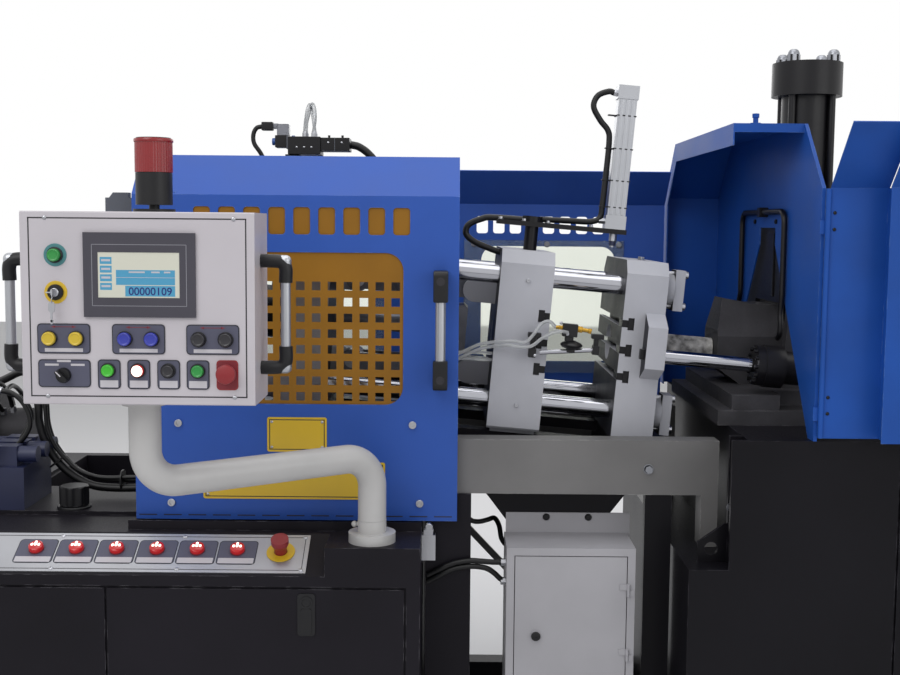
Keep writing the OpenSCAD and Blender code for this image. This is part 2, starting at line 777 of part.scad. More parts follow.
module injection_cylinder() color([0.12, 0.12, 0.13]) {
    z_cylinder(shot_x, 0, cap_r, cap_z, cap_top);
    z_cylinder(shot_x, 0, tube_r, yoke_z + 40, cap_z);
    z_cylinder(shot_x, 0, cap_r, yoke_z + 30, yoke_z + 100);
    at_shot_rods() {
        cylinder_span(9, yoke_z + 100, cap_z);
        translate([0, 0, cap_top]) cylinder(r = 17, h = 16, $fn = 6);
        translate([0, 0, cap_top + 16]) intersection() {
            sphere(14);
            cylinder(r = 20, h = 20);
        }
    }
}

module cylinder_span(r, z0, z1) {
    translate([0, 0, z0]) cylinder(r = r, h = z1 - z0);
}

slide_top = 1068;
frame_x1 = 1010;
block_top = 1104;
yoke_y = 150;
module injection_frame() color([0.16, 0.16, 0.18]) {
    block([640, -300, furnace_top], [frame_x1, 300, slide_top]);
    block([705, -200, slide_top], [frame_x1, 200, block_top]);
    block([676, -285, slide_top], [790, 285, block_top]);
    block([shot_x - 80, -yoke_y - 25, yoke_z], [shot_x + 80, yoke_y + 25, yoke_z + 30]);
    for (s = [-1, 1]) along_y(s * yoke_y - 15, s * yoke_y + 15) polygon([
        [shot_x - 85, block_top], [shot_x + 95, block_top], [shot_x + 75, yoke_z], [shot_x - 60, yoke_z]]);
    z_cylinder(shot_x, 0, 22, 1330, yoke_z);
    z_cylinder(shot_x, 0, 45, 1280, 1330);
}

// Gooseneck casting: side outline cut to a narrower top
gooseneck_x0 = 684;
module gooseneck() color([0.2, 0.2, 0.23]) {
    intersection() {
        along_y(-80, 80) polygon([[gooseneck_x0, 1145], [gooseneck_x0, 1240], [700, 1322], [728, 1316], [775, 1308],
            [840, 1308], [862, 1240], [965, 1230], [965, block_top], [742, block_top]]);
        along_x(600, 1100) polygon([[-80, 1000], [80, 1000], [80, 1226], [42, 1330], [-42, 1330],
            [-80, 1226]]);
    }
    z_cylinder(shot_x, 0, 55, block_top, 1280);
}

module nozzle() color([0.5, 0.48, 0.45]) clamp_frame() {
    x_cylinder(nozzle_r, 60, (gooseneck_x0 - 0.3 - fixed_face_x - nozzle_r * sin(clamp_tilt)) / cos(clamp_tilt));
    translate([40, 0, 0]) rotate([0, 90, 0]) cylinder(r1 = 14, r2 = nozzle_r, h = 20);
}

flange_x = 322;
barrel_r = 40;
module traverse_cylinders() color([0.12, 0.12, 0.14]) clamp_frame() {
    for (s = [-1, 1]) translate([0, s * traverse_y, traverse_z]) {
        x_cylinder(traverse_rod_r, fixed_t, flange_x);
        x_cylinder(48, flange_x, flange_x + 20);
        x_cylinder(51, flange_x + 20, flange_x + 66);
        x_cylinder(barrel_r, flange_x + 66, flange_x + 150);
        for (i = [0 : 5]) rotate([60 * i, 0, 0]) translate([0, 41, 0])
            x_cylinder(5, flange_x - 8, flange_x + 20);
    }
}

furnace_c = 1180;
furnace_r = 250;
module furnace() color([0.3, 0.3, 0.32]) {
    difference() {
        union() {
            z_cylinder(furnace_c, 0, furnace_r, furnace_top, 1240);
            z_cylinder(furnace_c, 0, furnace_r + 14, 1240, 1262);
        }
        block([furnace_c - furnace_r - 20, -furnace_r, furnace_top - eps],
            [frame_x1 + 3, furnace_r, 1262 + eps]);
    }
    z_cylinder(furnace_c, 0, 150, 1262, 1290);
    block([furnace_c - 60, -12, 1290], [furnace_c + 60, 12, 1316]);
}

module furnace_base() color([0.13, 0.13, 0.16]) {
    difference() {
        union() {
            block([furnace_step_x, -hood_half_w, foot_h], [half_l, hood_half_w, furnace_step]);
            block([furnace_x, -hood_half_w, furnace_step], [half_l, hood_half_w, furnace_top]);
            block([apron_x, -hood_half_w, furnace_step], [furnace_x, -hood_half_w + 12, furnace_top]);
        }
        for (s = [-1, 1]) {
            y0 = s > 0 ? hood_half_w - seam_depth : -hood_half_w - eps;
            y1 = s > 0 ? hood_half_w + eps : -hood_half_w + seam_depth;
            block([1000, y0, foot_h + 110], [1000 + seam_w, y1, furnace_top - 60]);
        }
    }
    difference() {
        along_y(-445, -437) polygon([[569, furnace_step], [569, 787], [furnace_x - 36, 830],
            [furnace_x - 30, 830], [furnace_x - 30, furnace_step]]);
        translate([600, 0, 772]) y_cylinder(15, -446, -436);
    }
    block([furnace_x - 30, -450, furnace_step], [furnace_x - 16, -436, furnace_top]);
    block([furnace_x - 16, -450, furnace_top - 20], [furnace_x, -436, furnace_top]);
}

flange_r = 53;
flange_t = 22;
spigot_r = 24;
module arm_flange() color([0.85, 0.85, 0.82]) translate([swivel[0], swivel[1], 0]) {
    difference() {
        union() {
            z_cylinder(0, 0, flange_r, base_top, base_top + flange_t);
            z_cylinder(0, 0, pipe_r + 0.5, base_top, swivel_z);
        }
        z_cylinder(0, 0, spigot_r + fit, base_top + 8, swivel_z + eps);
    }
    translate([-pipe_r + 3, 0, 830]) rotate([0, -90, 0]) cylinder(r = 5, h = 12);
    translate([-pipe_r - 8, 0, 830]) sphere(7);
}

// Support pipe: up from the swivel, across and up again to the box
module pipe_elbow() {
    rotate_extrude(angle = 90) translate([pipe_bend, 0]) circle(pipe_r);
}

module arm_pipe() color([0.85, 0.85, 0.82]) translate([swivel[0], swivel[1], 0]) {
    run = norm(swivel_run);
    z_cylinder(0, 0, spigot_r, base_top + 10, swivel_z + 2);
    z_cylinder(0, 0, pipe_r, swivel_z + 0.3, pipe_z - pipe_bend);
    rotate([0, 0, atan2(swivel_run[1], swivel_run[0])]) {
        translate([pipe_bend, 0, pipe_z - pipe_bend]) rotate([90, 0, 0]) rotate([0, 0, 90]) pipe_elbow();
        translate([0, 0, pipe_z]) x_cylinder(pipe_r, pipe_bend, run - pipe_bend);
        translate([run - pipe_bend, 0, pipe_z + pipe_bend]) rotate([90, 0, 0]) rotate([0, 0, -90])
            pipe_elbow();
        z_cylinder(run, 0, pipe_r, pipe_z + pipe_bend, box_z - 12);
        z_cylinder(run, 0, 44, box_z - 12, box_z);
    }
}

module control_box() color([0.88, 0.88, 0.9]) {
    along_x(box_x0, box_x0 + box_w) polygon([[box_y + 3, box_z], [box_y + box_d - 3, box_z],
        [box_y + box_d, box_z + 3], [box_y + box_d, box_z + box_h - 3],
        [box_y + box_d - 3, box_z + box_h], [box_y + 3, box_z + box_h],
        [box_y, box_z + box_h - 3], [box_y, box_z + 3]]);
}

screen_x = [-688.5, -478.5];
screen_z = [1324, 1483];
glass_x = [-661, -508];
glass_z = [1361, 1446];
module touch_screen() color([0.2, 0.2, 0.23]) {
    difference() {
        block([screen_x[0], box_y - 6, screen_z[0]], [screen_x[1], box_y, screen_z[1]]);
        block([glass_x[0], box_y - 6 - eps, glass_z[0]], [glass_x[1], box_y - 5, glass_z[1]]);
    }
}

plate_top_z = 1282;
label_plates = [[-776, -678, 1254, 1311], [-637, -536, 1254, 1311], [-497, -398, 1254, 1311],
    [-778, -679, 1190, 1243], [-663, -620, 1188, 1243], [-610, -566, 1188, 1243],
    [-552, -510, 1188, 1243], [-498, -455, 1188, 1243], [-443, -400, 1188, 1243]];
row_one = [-755, -704.5, -613, -562.5, -474, -423];
row_two = [-646, -589.5, -532, -476];
module panel_buttons() color([0.3, 0.32, 0.4]) {
    for (p = label_plates) block([p[0], box_y - 1.5, p[2]], [p[1], box_y, p[3]]);
    for (x = row_one) translate([x, 0, plate_top_z]) y_cylinder(11.5, box_y - 14, box_y);
    for (x = row_two) translate([x, 0, 1222.5]) y_cylinder(11.5, box_y - 14, box_y);
    translate([-420, 0, 1217]) y_cylinder(17, box_y - 24, box_y);
    translate([-730, 0, 1213]) {
        y_cylinder(13, box_y - 10, box_y);
        rotate([0, 45, 0]) block([-4, box_y - 24, -13], [4, box_y - 8, 13]);
    }
    translate([-742, 0, 1440]) y_cylinder(21.5, box_y - 2, box_y);
    translate([-742, 0, 1440]) y_cylinder(12, box_y - 15, box_y);
    translate([-742, 0, 1370]) y_cylinder(21.5, box_y - 2, box_y);
    translate([-742, 0, 1370]) y_cylinder(14, box_y - 9, box_y);
}

grip_r = 9.5;
grip_z = [1222, 1430];
grip_y = -800;
module side_grip(x, side) {
    translate([x, grip_y, grip_z[0]]) rotate([0, 0, side * 90])
        pull_handle(grip_r, 48, grip_z[1] - grip_z[0]);
}

module box_handles() color([0.6, 0.6, 0.62]) {
    side_grip(box_x0 + box_w, 1);
    side_grip(box_x0, -1);
}

beacon_xy = [-573, -800];
beacon_r = 35;
module beacon() color([0.6, 0.08, 0.1]) {
    z0 = box_z + box_h;
    z_cylinder(beacon_xy[0], beacon_xy[1], 40, z0, z0 + 6);
    z_cylinder(beacon_xy[0], beacon_xy[1], 10, z0, z0 + 16);
    z_cylinder(beacon_xy[0], beacon_xy[1], beacon_r, z0 + 14, z0 + 75);
    z_cylinder(beacon_xy[0], beacon_xy[1], beacon_r - 2, z0 + 75, z0 + 142);
    for (i = [0 : 6]) z_cylinder(beacon_xy[0], beacon_xy[1], beacon_r, z0 + 78 + i * 9, z0 + 83 + i * 9);
}

cab_wall = 3;
cab_back = cab_y + cab_d;
cab_low = cab_top - cab_h;
cab_gap = 2;
cab_hinge = [cab_x0 + cab_w - cab_border + 2, cab_y - 4];
cab_hinge_z = [500, 656];
module heater_cabinet() color([0.6, 0.6, 0.61]) {
    difference() {
        block([cab_x0, cab_y, cab_low], [cab_x0 + cab_w, cab_back, cab_top]);
        block([cab_x0 + cab_wall, cab_y + cab_wall, cab_low + cab_wall],
            [cab_x0 + cab_w - cab_wall, cab_back - cab_wall, cab_top - cab_wall]);
        block([cab_x0 + cab_border, cab_y - eps, cab_low + cab_border],
            [cab_x0 + cab_w - cab_border, cab_y + cab_wall + eps, cab_top - cab_border]);
    }
    difference() {
        block([cab_x0 + 4, cab_back, cab_low], [cab_x0 + cab_w + 7, cab_back + 4, cab_top + 49]);
        for (x = [cab_x0 + 103, cab_x0 + 206]) translate([x, 0, cab_top + 38])
            y_cylinder(5, cab_back - eps, cab_back + 4 + eps);
    }
    for (x = [cab_x0 + 20, cab_x0 + cab_w - 60])
        block([x, -rail_in - beam_w, lower_top], [x + 40, -rail_in - beam_w + 40, cab_low]);
    for (z = cab_hinge_z) translate([cab_hinge[0], cab_hinge[1], z - 14.3]) {
        cylinder(r = 4, h = 14);
        block([0, 1, 0], [14, 5, 14]);
    }
}

module cabinet_door() color([0.63, 0.63, 0.65]) {
    x0 = cab_x0 + cab_border + cab_gap;
    x1 = cab_x0 + cab_w - cab_border - cab_gap;
    z0 = cab_low + cab_border + cab_gap;
    z1 = cab_top - cab_border - cab_gap;
    difference() {
        block([x0, cab_y, z0], [x1, cab_y + cab_door_t, z1]);
        block([x0 + 2, cab_y + 2, z0 + 2], [x1 - 2, cab_y + cab_door_t + eps, z1 - 2]);
    }
    translate([x0 + 50, 0, 545]) y_cylinder(12, cab_y - 6, cab_y);
    for (z = cab_hinge_z) translate([cab_hinge[0], cab_hinge[1], z]) {
        cylinder(r = 4, h = 14);
        block([-20, 1, 0], [0, 4, 14]);
    }
}

chute_top = beam_low;
chute_low = 700;
chute_slope_x = [77, 445];
chute_low_x = [218, 318];
module chute() color([0.65, 0.65, 0.66]) {
    t = sheet_t;
    difference() {
        union() {
            along_y(-235, 235) polygon([[chute_slope_x[0], chute_top], [chute_slope_x[1], chute_top],
                [chute_low_x[1], chute_low], [chute_low_x[0], chute_low]]);
            block([chute_slope_x[0] - 10, -290, chute_top - t], [chute_slope_x[1] + 10, 290, chute_top]);
        }
        along_y(-235 + t, 235 - t) polygon([[chute_slope_x[0] + 4, chute_top + eps],
            [chute_slope_x[1] - 4, chute_top + eps], [chute_low_x[1] - 4, chute_low - eps],
            [chute_low_x[0] + 4, chute_low - eps]]);
    }
    block([470, -306, lower_top], [furnace_step_x - 4, -303, beam_low]);
    block([470, -306, lower_top], [473, -280, beam_low]);
}

valve_x = [-415, -250];
valve_y = [-160, -80];
valve_z = [1674, 1712];
module valve_block() color([0.2, 0.22, 0.25]) {
    block([valve_x[0], valve_y[0], valve_z[0]], [valve_x[1], valve_y[1], valve_z[0] + 22]);
    for (i = [0 : 2]) {
        x = valve_x[0] + 28 + i * 54;
        block([x - 21, valve_y[0] + 6, valve_z[0] + 22], [x + 21, valve_y[1] - 6, valve_z[1]]);
    }
    clamp_frame() block([tail_x - 84, -130, half_w], [tail_x - 44, -110, half_w + 193]);
}

switch_x = [base_end_x, -30];
module limit_switch() color([0.7, 0.7, 0.7]) {
    block([switch_x[0], -372, 718], [switch_x[1], -342, 778]);
    block([switch_x[0] + 4, -368, 778], [switch_x[1] - 6, -346, 790]);
    translate([-45, 0, 788]) y_cylinder(10, -364, -352);
}

// Moving platen with lugs for the toggle and shoes on the guide ways
module moving_platen() color([0.68, 0.69, 0.72]) clamp_frame() {
    difference() {
        union() {
            along_x(moving_x, -daylight) platen_outline();
            for (s = [-1, 1])
                block([moving_x + 10, s * tie_pitch / 2 - 32, -half_w - shoe_t],
                    [-daylight - 10, s * tie_pitch / 2 + 32, -half_w]);
        }
        die_slots(-daylight, -1);
        x_cylinder(30, moving_x - eps, -daylight + eps);
        at_tie_bars() x_cylinder(tie_r + fit, moving_x - eps, -daylight + eps);
    }
    for (s = [-1, 1]) translate([front_pin_x, 0, s * toggle_z]) {
        for (y = [-lane_out, lane_in + 1]) eye_web(eye_r, lug_reach, y, y + lane_out - lane_in - 1);
        y_cylinder(pin_r, -lane_out, lane_out);
    }
}

module crosshead() color([0.55, 0.56, 0.58]) clamp_frame() {
    along_y(-lane_out, lane_out) polygon([[cross_x - 22, -cross_z - 12], [cross_x + 12, -cross_z - 20],
        [cross_x + 22, -cross_z - 12], [cross_x + 22, cross_z + 12], [cross_x + 12, cross_z + 20],
        [cross_x - 22, cross_z + 12]]);
    for (s = [-1, 1]) translate([cross_x, 0, s * cross_z]) y_cylinder(12, -lane_out - 16, lane_out + 16);
    x_cylinder(rod_r, tail_back_x - 75, cross_x);
}

module rear_link(s) {
    clamp_frame() translate([tail_pin_x, 0, s * toggle_z])
        for (y = [-lane_out, lane_in + 1]) difference() {
            along_y(y, y + lane_out - lane_in - 1) {
                circle(eye_r);
                translate([link_l, 0]) circle(eye_r);
                translate([0, -eye_r * 0.75]) square([link_l, eye_r * 1.5]);
            }
            y_cylinder(pin_r + fit, -lane_out - eps, lane_out + eps);
        }
}

module front_link(s) {
    clamp_frame() translate([front_pin_x, 0, s * toggle_z]) difference() {
        along_y(-lane_in, lane_in) {
            circle(eye_r);
            translate([-link_l, 0]) circle(eye_r);
            translate([-link_l, -eye_r * 0.75]) square([link_l, eye_r * 1.5]);
        }
        y_cylinder(pin_r + fit, -lane_in - eps, lane_in + eps);
    }
}

drag_t = 12;
drag_lane = lane_out + 2;
module drag_link(s) {
    a = atan2(s * drag_rise_shut, -drag_run);
    clamp_frame() translate([cross_x, 0, s * cross_z]) for (m = [-1, 1]) {
        y0 = m > 0 ? drag_lane : -drag_lane - drag_t;
        difference() {
            rotate([0, -a, 0]) union() {
                along_y(y0, y0 + drag_t) {
                    circle(17);
                    translate([drag_l, 0]) circle(17);
                    translate([0, -11]) square([drag_l, 22]);
                }
                translate([drag_l, 0, 0]) y_cylinder(11, m > 0 ? y0 : y0 - 6, m > 0 ? y0 + drag_t + 6 : y0 + drag_t);
            }
            y_cylinder(12 + fit, -lane_out - 20, lane_out + 20);
        }
    }
}

module rear_link_upper() color([0.5, 0.5, 0.52]) rear_link(1);
module rear_link_lower() color([0.5, 0.5, 0.52]) rear_link(-1);
module front_link_upper() color([0.56, 0.56, 0.58]) front_link(1);
module front_link_lower() color([0.56, 0.56, 0.58]) front_link(-1);
module drag_link_upper() color([0.45, 0.45, 0.48]) drag_link(1);
module drag_link_lower() color([0.45, 0.45, 0.48]) drag_link(-1);

// Post and flat arm that carry the air cylinder over the die
arm_y = -60;
post_x = -231;
arm_z = [280, 292];
air_x = -23;
air_z = [292, 652];
module carrier_arm() color([0.08, 0.08, 0.09]) clamp_frame() translate([0, arm_y, 0]) {
    difference() {
        union() {
            z_cylinder(post_x, 0, 17, half_w, arm_z[0]);
            block([post_x - 91, -25, arm_z[0]], [air_x + 30, 25, arm_z[1]]);
            z_cylinder(post_x, 0, 26, arm_z[1], arm_z[1] + 14);
        }
        z_cylinder(air_x, 0, 11, arm_z[0] - eps, arm_z[1] + eps);
    }
}

module air_cylinder() color([0.7, 0.71, 0.73]) clamp_frame() translate([0, arm_y, 0]) {
    for (z = [air_z[0], air_z[1] - 34])
        block([air_x - 26, -26, z], [air_x + 26, 26, z + 34]);
    block([air_x - 23, -23, air_z[0] + 34], [air_x + 23, 23, air_z[1] - 34]);
    z_cylinder(air_x, 0, 10, 262, air_z[0]);
    z_cylinder(air_x, 0, 6, 246, 262);
}

spray_z = 18;
module spray_arm() color([0.35, 0.35, 0.37]) clamp_frame() {
    translate([-daylight - 26, 0, spray_z]) y_cylinder(12, -half_w - 34, -half_w);
    translate([0, -half_w - 26, spray_z - 8]) x_cylinder(5, -daylight - 30, -60);
    translate([-118, -half_w - 26, spray_z + 2]) y_cylinder(13, -10, 10);
    block([-150, -half_w - 40, spray_z + 20], [-112, -half_w - 12, spray_z + 56]);
    block([-134, -half_w - 34, spray_z - 8], [-124, -half_w - 18, spray_z + 20]);
    translate([0, -half_w - 26, spray_z + 50]) x_cylinder(6, -112, -74);
}

base_cabinet();
console_plate();
console_buttons();
emergency_stop();
filler_cap();
pump_motor();
hydraulic_manifold();
leveling_feet();
frame_leg();
front_beam();
rear_beam();
clamp_bed();
fixed_platen();
tail_platen();
tie_bars();
keeper_plates();
clamp_cylinder();
door_rail();
rear_guard();
rear_window();
hood();
hood_rod();
injection_cylinder();
injection_frame();
gooseneck();
nozzle();
traverse_cylinders();
furnace();
furnace_base();
arm_flange();
heater_cabinet();
chute();
valve_block();
limit_switch();
moving_platen();
crosshead();
carrier_arm();
air_cylinder();
spray_arm();
rear_link_upper();
rear_link_lower();
front_link_upper();
front_link_lower();
drag_link_upper();
drag_link_lower();
sliding_door();
window_grille();
door_handle();
guard_door();
arm_pipe();
control_box();
touch_screen();
panel_buttons();
box_handles();
beacon();
cabinet_door();
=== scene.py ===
"""Looks of a hot chamber die casting machine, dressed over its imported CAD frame.

Sizes in the classes are millimetres in the row frame: X from the clamp to the furnace,
Y to the back, Z up from the floor. Meshes are scaled to metres when they are made.
"""

from __future__ import annotations

import logging
import math
from dataclasses import dataclass
from enum import Enum
from typing import Iterable, Sequence

import bmesh
import bpy
from mathutils import Matrix, Vector

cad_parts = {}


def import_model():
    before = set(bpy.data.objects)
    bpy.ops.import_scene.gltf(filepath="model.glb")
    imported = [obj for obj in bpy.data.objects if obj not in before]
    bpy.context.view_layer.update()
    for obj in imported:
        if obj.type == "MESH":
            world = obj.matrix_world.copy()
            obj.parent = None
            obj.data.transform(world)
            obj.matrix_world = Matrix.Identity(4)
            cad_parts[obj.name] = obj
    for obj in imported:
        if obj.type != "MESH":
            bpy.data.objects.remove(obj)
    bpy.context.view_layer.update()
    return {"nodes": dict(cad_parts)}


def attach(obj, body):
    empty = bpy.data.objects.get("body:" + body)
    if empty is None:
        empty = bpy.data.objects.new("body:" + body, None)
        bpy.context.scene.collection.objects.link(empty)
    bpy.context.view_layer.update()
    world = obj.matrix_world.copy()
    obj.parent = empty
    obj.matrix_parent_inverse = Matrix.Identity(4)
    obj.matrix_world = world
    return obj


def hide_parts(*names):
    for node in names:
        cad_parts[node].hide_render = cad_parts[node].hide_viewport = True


LOG = logging.getLogger("machine")
Point = Sequence[float]
Span = tuple[float, float]
Colour = tuple[int, int, int]
Tree = bpy.types.NodeTree
Socket = bpy.types.NodeSocket
Values = dict[str | int, object]
MM = 0.001
UP, FRONT, RIGHT, LEFT = (0, 0, 1), (0, -1, 0), (1, 0, 0), (-1, 0, 0)
CORNER_STEPS = 5
HOSE_STEPS = 8
SHARP_ANGLE, SOFT_ANGLE = math.radians(32), math.radians(40)
FACE_WEIGHT = 50
MERGE_DISTANCE = 1e-4
# In metres: how far rubbed edges reach, and how deep a bump is at full strength
WEAR_RADIUS, BUMP_DEPTH = 0.0022, 0.0006


class Body(Enum):
    """The rigid bodies that pieces ride on."""

    FRAME = "frame"
    CARRIAGE = "clamp_carriage"
    DOOR = "door"
    GUARD = "guard"
    PANEL = "panel_arm"
    HEATER_DOOR = "heater_door"


class Head(Enum):
    """Kinds of fastener heads."""

    HEX = "hex"
    SOCKET = "socket"
    DOME = "dome"


class Grain(Enum):
    """How a surface's fine noise runs."""

    EVEN = (1.0, 1.0, 1.0)
    ALONG_X = (0.06, 1.0, 1.0)
    ALONG_Z = (1.0, 1.0, 0.06)


def linear(colour: Colour) -> tuple[float, ...]:
    """Turns a display colour of 0 to 255 into a linear RGBA colour with an alpha of 1."""
    parts = [value / 255 for value in colour]
    return (*[v / 12.92 if v <= 0.04045 else ((v + 0.055) / 1.055) ** 2.4 for v in parts], 1.0)


def feed(tree: Tree, made: bpy.types.Node, values: Values) -> None:
    """Links or sets a node's inputs.

    Args:
        tree: The node tree.
        made: The node.
        values: A socket to link, or a plain value, for each input.
    """
    for key, value in values.items():
        if isinstance(value, Socket):
            tree.links.new(value, made.inputs[key])
        else:
            made.inputs[key].default_value = value


def node(tree: Tree, kind: str, out: str | int, values: Values | None = None,
         **settings: object) -> Socket:
    """Adds a shader node.

    Args:
        tree: The node tree.
        kind: The node's type, without the start that all types share.
        out: The output that is asked for.
        values: What goes into its inputs.
        settings: Its own properties.

    Returns:
        The output.
    """
    made = tree.nodes.new("ShaderNode" + kind)
    for key, value in settings.items():
        setattr(made, key, value)
    feed(tree, made, values or {})
    return made.outputs[out]


def noise(tree: Tree, place: Socket, scale: float, detail: float) -> Socket:
    """Adds a noise texture and gives its value."""
    return node(tree, "TexNoise", "Fac", {"Vector": place, "Scale": scale, "Detail": detail})


def mask(tree: Tree, source: Socket, low: float, high: float) -> Socket:
    """Turns a value into a mask that rises from low to high."""
    return node(tree, "MapRange", "Result", {"Value": source, "From Min": low,
                                             "From Max": high})


def mixed(tree: Tree, factor: Socket, colour: Socket, other: Colour) -> Socket:
    """Mixes a fixed colour over another by a mask."""
    return node(tree, "Mix", 2, {0: factor, 6: colour, 7: linear(other)}, data_type="RGBA")


@dataclass(frozen=True)
class Finish:
    """A surface finish, made into one node material the first time it is used."""

    name: str
    colour: Colour
    roughness: float = 0.45
    metallic: float = 0.0
    mottle: float = 0.08
    patch_scale: float = 6.0
    grain_scale: float = 260.0
    grain: Grain = Grain.EVEN
    bump: float = 0.05
    coat: float = 0.0
    specular: float = 0.5
    worn: Colour | None = None
    face_colour: Colour | None = None
    glow: float = 0.0
    clear: float = 0.0

    def material(self) -> bpy.types.Material:
        """Gives the finish's material, which is built once.

        Returns:
            The node material.
        """
        label = f"{self.name}_finish"
        mat = bpy.data.materials.get(label)
        if mat:
            return mat
        mat = bpy.data.materials.new(label)
        mat.use_nodes = True
        tree = mat.node_tree
        place = node(tree, "TexCoord", "Object")
        patch = noise(tree, place, self.patch_scale, 5.0)
        along = node(tree, "Mapping", "Vector", {"Vector": place, "Scale": self.grain.value})
        fine = noise(tree, along, self.grain_scale, 3.0)
        both = node(tree, "Math", 0, {0: patch, 1: fine}, operation="ADD")
        rough = node(tree, "MapRange", "Result", {
            "Value": both, "From Min": 0.6, "From Max": 1.4,
            "To Min": max(0.02, self.roughness * 0.8),
            "To Max": min(1.0, self.roughness * 1.2)})
        values = {"Base Color": self._colour(tree, place, patch), "Roughness": rough,
                  "Metallic": self.metallic, "Specular IOR Level": self.specular,
                  "Coat Weight": self.coat, "Coat Roughness": 0.12}
        if self.bump:
            values["Normal"] = node(tree, "Bump", "Normal", {
                "Height": fine, "Strength": self.bump, "Distance": BUMP_DEPTH})
        if self.glow:
            values |= {"Emission Color": linear(self.colour), "Emission Strength": self.glow}
        if self.clear:
            values |= {"Transmission Weight": self.clear, "IOR": 1.2}
        feed(tree, tree.nodes["Principled BSDF"], values)
        return mat

    def _colour(self, tree: Tree, place: Socket, patch: Socket) -> Socket:
        """Mottles the colour, rubs edges through and bares faces square to the X axis.

        Args:
            tree: The node tree.
            place: The texture coordinates.
            patch: The coarse noise.

        Returns:
            The colour.
        """
        colour = node(tree, "ValToRGB", "Color", {"Fac": patch})
        base = Vector(linear(self.colour)[:3])
        for end, place_on, tone in zip(colour.node.color_ramp.elements, (0.32, 0.68),
                                       (1 - self.mottle, 1 + self.mottle)):
            end.position = place_on
            end.color = (*[min(1.0, c) for c in base * tone], 1.0)
        if self.worn:
            rounding = node(tree, "Bevel", "Normal", {"Radius": WEAR_RADIUS}, samples=4)
            flat = node(tree, "NewGeometry", "True Normal")
            turn = node(tree, "VectorMath", "Value", {0: rounding, 1: flat},
                        operation="DOT_PRODUCT")
            chips = mask(tree, noise(tree, place, 34.0, 4.0), 0.5, 0.6)
            broken = node(tree, "Math", 0, {0: mask(tree, turn, 0.98, 0.8), 1: chips},
                          operation="MULTIPLY")
            colour = mixed(tree, broken, colour, self.worn)
        if self.face_colour:
            side = node(tree, "SeparateXYZ", "X", {0: node(tree, "TexCoord", "Normal")})
            size = node(tree, "Math", 0, {0: side}, operation="ABSOLUTE")
            colour = mixed(tree, mask(tree, size, 0.93, 0.97), colour, self.face_colour)
        return colour


BLUE = Finish("blue_paint", (47, 88, 176), 0.46, grain_scale=420, coat=0.04,
              specular=0.3, worn=(112, 142, 196), mottle=0.05)
HOOD_BLUE = Finish("hood_blue_paint", (27, 78, 162), 0.5, bump=0.06, grain_scale=420,
                   coat=0.02, specular=0.25, worn=(98, 130, 184), mottle=0.1)
GOLD = Finish("gold_paint", (146, 101, 26), mottle=0.1, coat=0.03, specular=0.25)
DARK = Finish("anthracite_paint", (27, 25, 31), 0.48, bump=0.07, mottle=0.2, coat=0.01,
              specular=0.14, patch_scale=3.0, worn=(112, 110, 116))
DARKER = Finish("furnace_paint", (17, 16, 21), 0.4, bump=0.08, mottle=0.24, coat=0.03,
                specular=0.14, patch_scale=2.2, worn=(78, 76, 84))
BEAM_GREY = Finish("beam_paint", (112, 111, 111), 0.5, bump=0.07, mottle=0.14,
                   patch_scale=4.0, worn=(178, 177, 174))
SLATE_PAINT = Finish("slate_paint", (84, 88, 98), bump=0.06, mottle=0.12, coat=0.1)
CABINET_GREY = Finish("cabinet_paint", (167, 166, 171), 0.48, bump=0.12, grain_scale=600,
                      mottle=0.06, coat=0.08)
PALE_PAINT = Finish("pale_paint", (201, 196, 202), 0.42, bump=0.04, mottle=0.03, coat=0.2)
PIPE_PAINT = Finish("pipe_paint", (194, 193, 192), 0.42, bump=0.12, grain_scale=150,
                    mottle=0.07, coat=0.2)
PLATEN = Finish("platen_paint", (182, 183, 190), 0.5, bump=0.06, mottle=0.05, coat=0.02,
                specular=0.15, face_colour=(44, 44, 50), patch_scale=9)
BLACK = Finish("black_paint", (15, 14, 18), 0.4, bump=0.06, mottle=0.2, coat=0.05,
               specular=0.28)
CHROME = Finish("hard_chrome", (172, 173, 180), 0.12, 1.0, 0.05, bump=0.0,
                grain=Grain.ALONG_X)
STEEL = Finish("ground_steel", (140, 142, 148), 0.36, 1.0, 0.14)
ZINC = Finish("zinc_plate", (176, 177, 182), 0.32, 1.0, 0.12, bump=0.03)
CAST = Finish("cast_iron", (58, 57, 61), 0.62, 0.35, 0.3, 14, 180, bump=0.35,
              worn=(126, 124, 126))
LINK = Finish("oiled_casting", (104, 105, 112), 0.42, 0.7, 0.25, 20, bump=0.2)
STRIP_STEEL = Finish("strip_stainless", (170, 171, 176), 0.36, 0.8, 0.06, bump=0.04,
                     grain=Grain.ALONG_X, grain_scale=600)
ALLOY = Finish("anodised_alloy", (180, 182, 187), 0.32, 0.85, 0.05, bump=0.03,
               grain=Grain.ALONG_Z, grain_scale=400)
HOT = Finish("ash_scaled_steel", (176, 174, 172), 0.7, 0.1, 0.94, 34, 120, bump=0.6)
BRASS = Finish("brass", (186, 146, 62), 0.28, 1.0, 0.1, bump=0.03)
BLACK_PLASTIC = Finish("black_plastic", (20, 20, 23), 0.42, bump=0.1, grain_scale=500,
                       specular=0.35, mottle=0.12)
RUBBER = Finish("hose_rubber", (14, 14, 16), 0.42, bump=0.08, grain_scale=500, mottle=0.2,
                specular=0.35)
SLATE = Finish("label_slate", (82, 83, 102), 0.5, bump=0.02, mottle=0.04)
SLATE_EDGE = Finish("label_edge", (33, 35, 47), 0.5, bump=0.02, mottle=0.05)
WHITE_STRIP = Finish("label_white", (200, 197, 203), 0.5, bump=0.01, mottle=0.03)
RED_INK = Finish("red_ink", (128, 50, 62), 0.5, bump=0.0, mottle=0.05)
YELLOW = Finish("yellow_enamel", (222, 184, 38), 0.42, bump=0.02, mottle=0.06, coat=0.2)
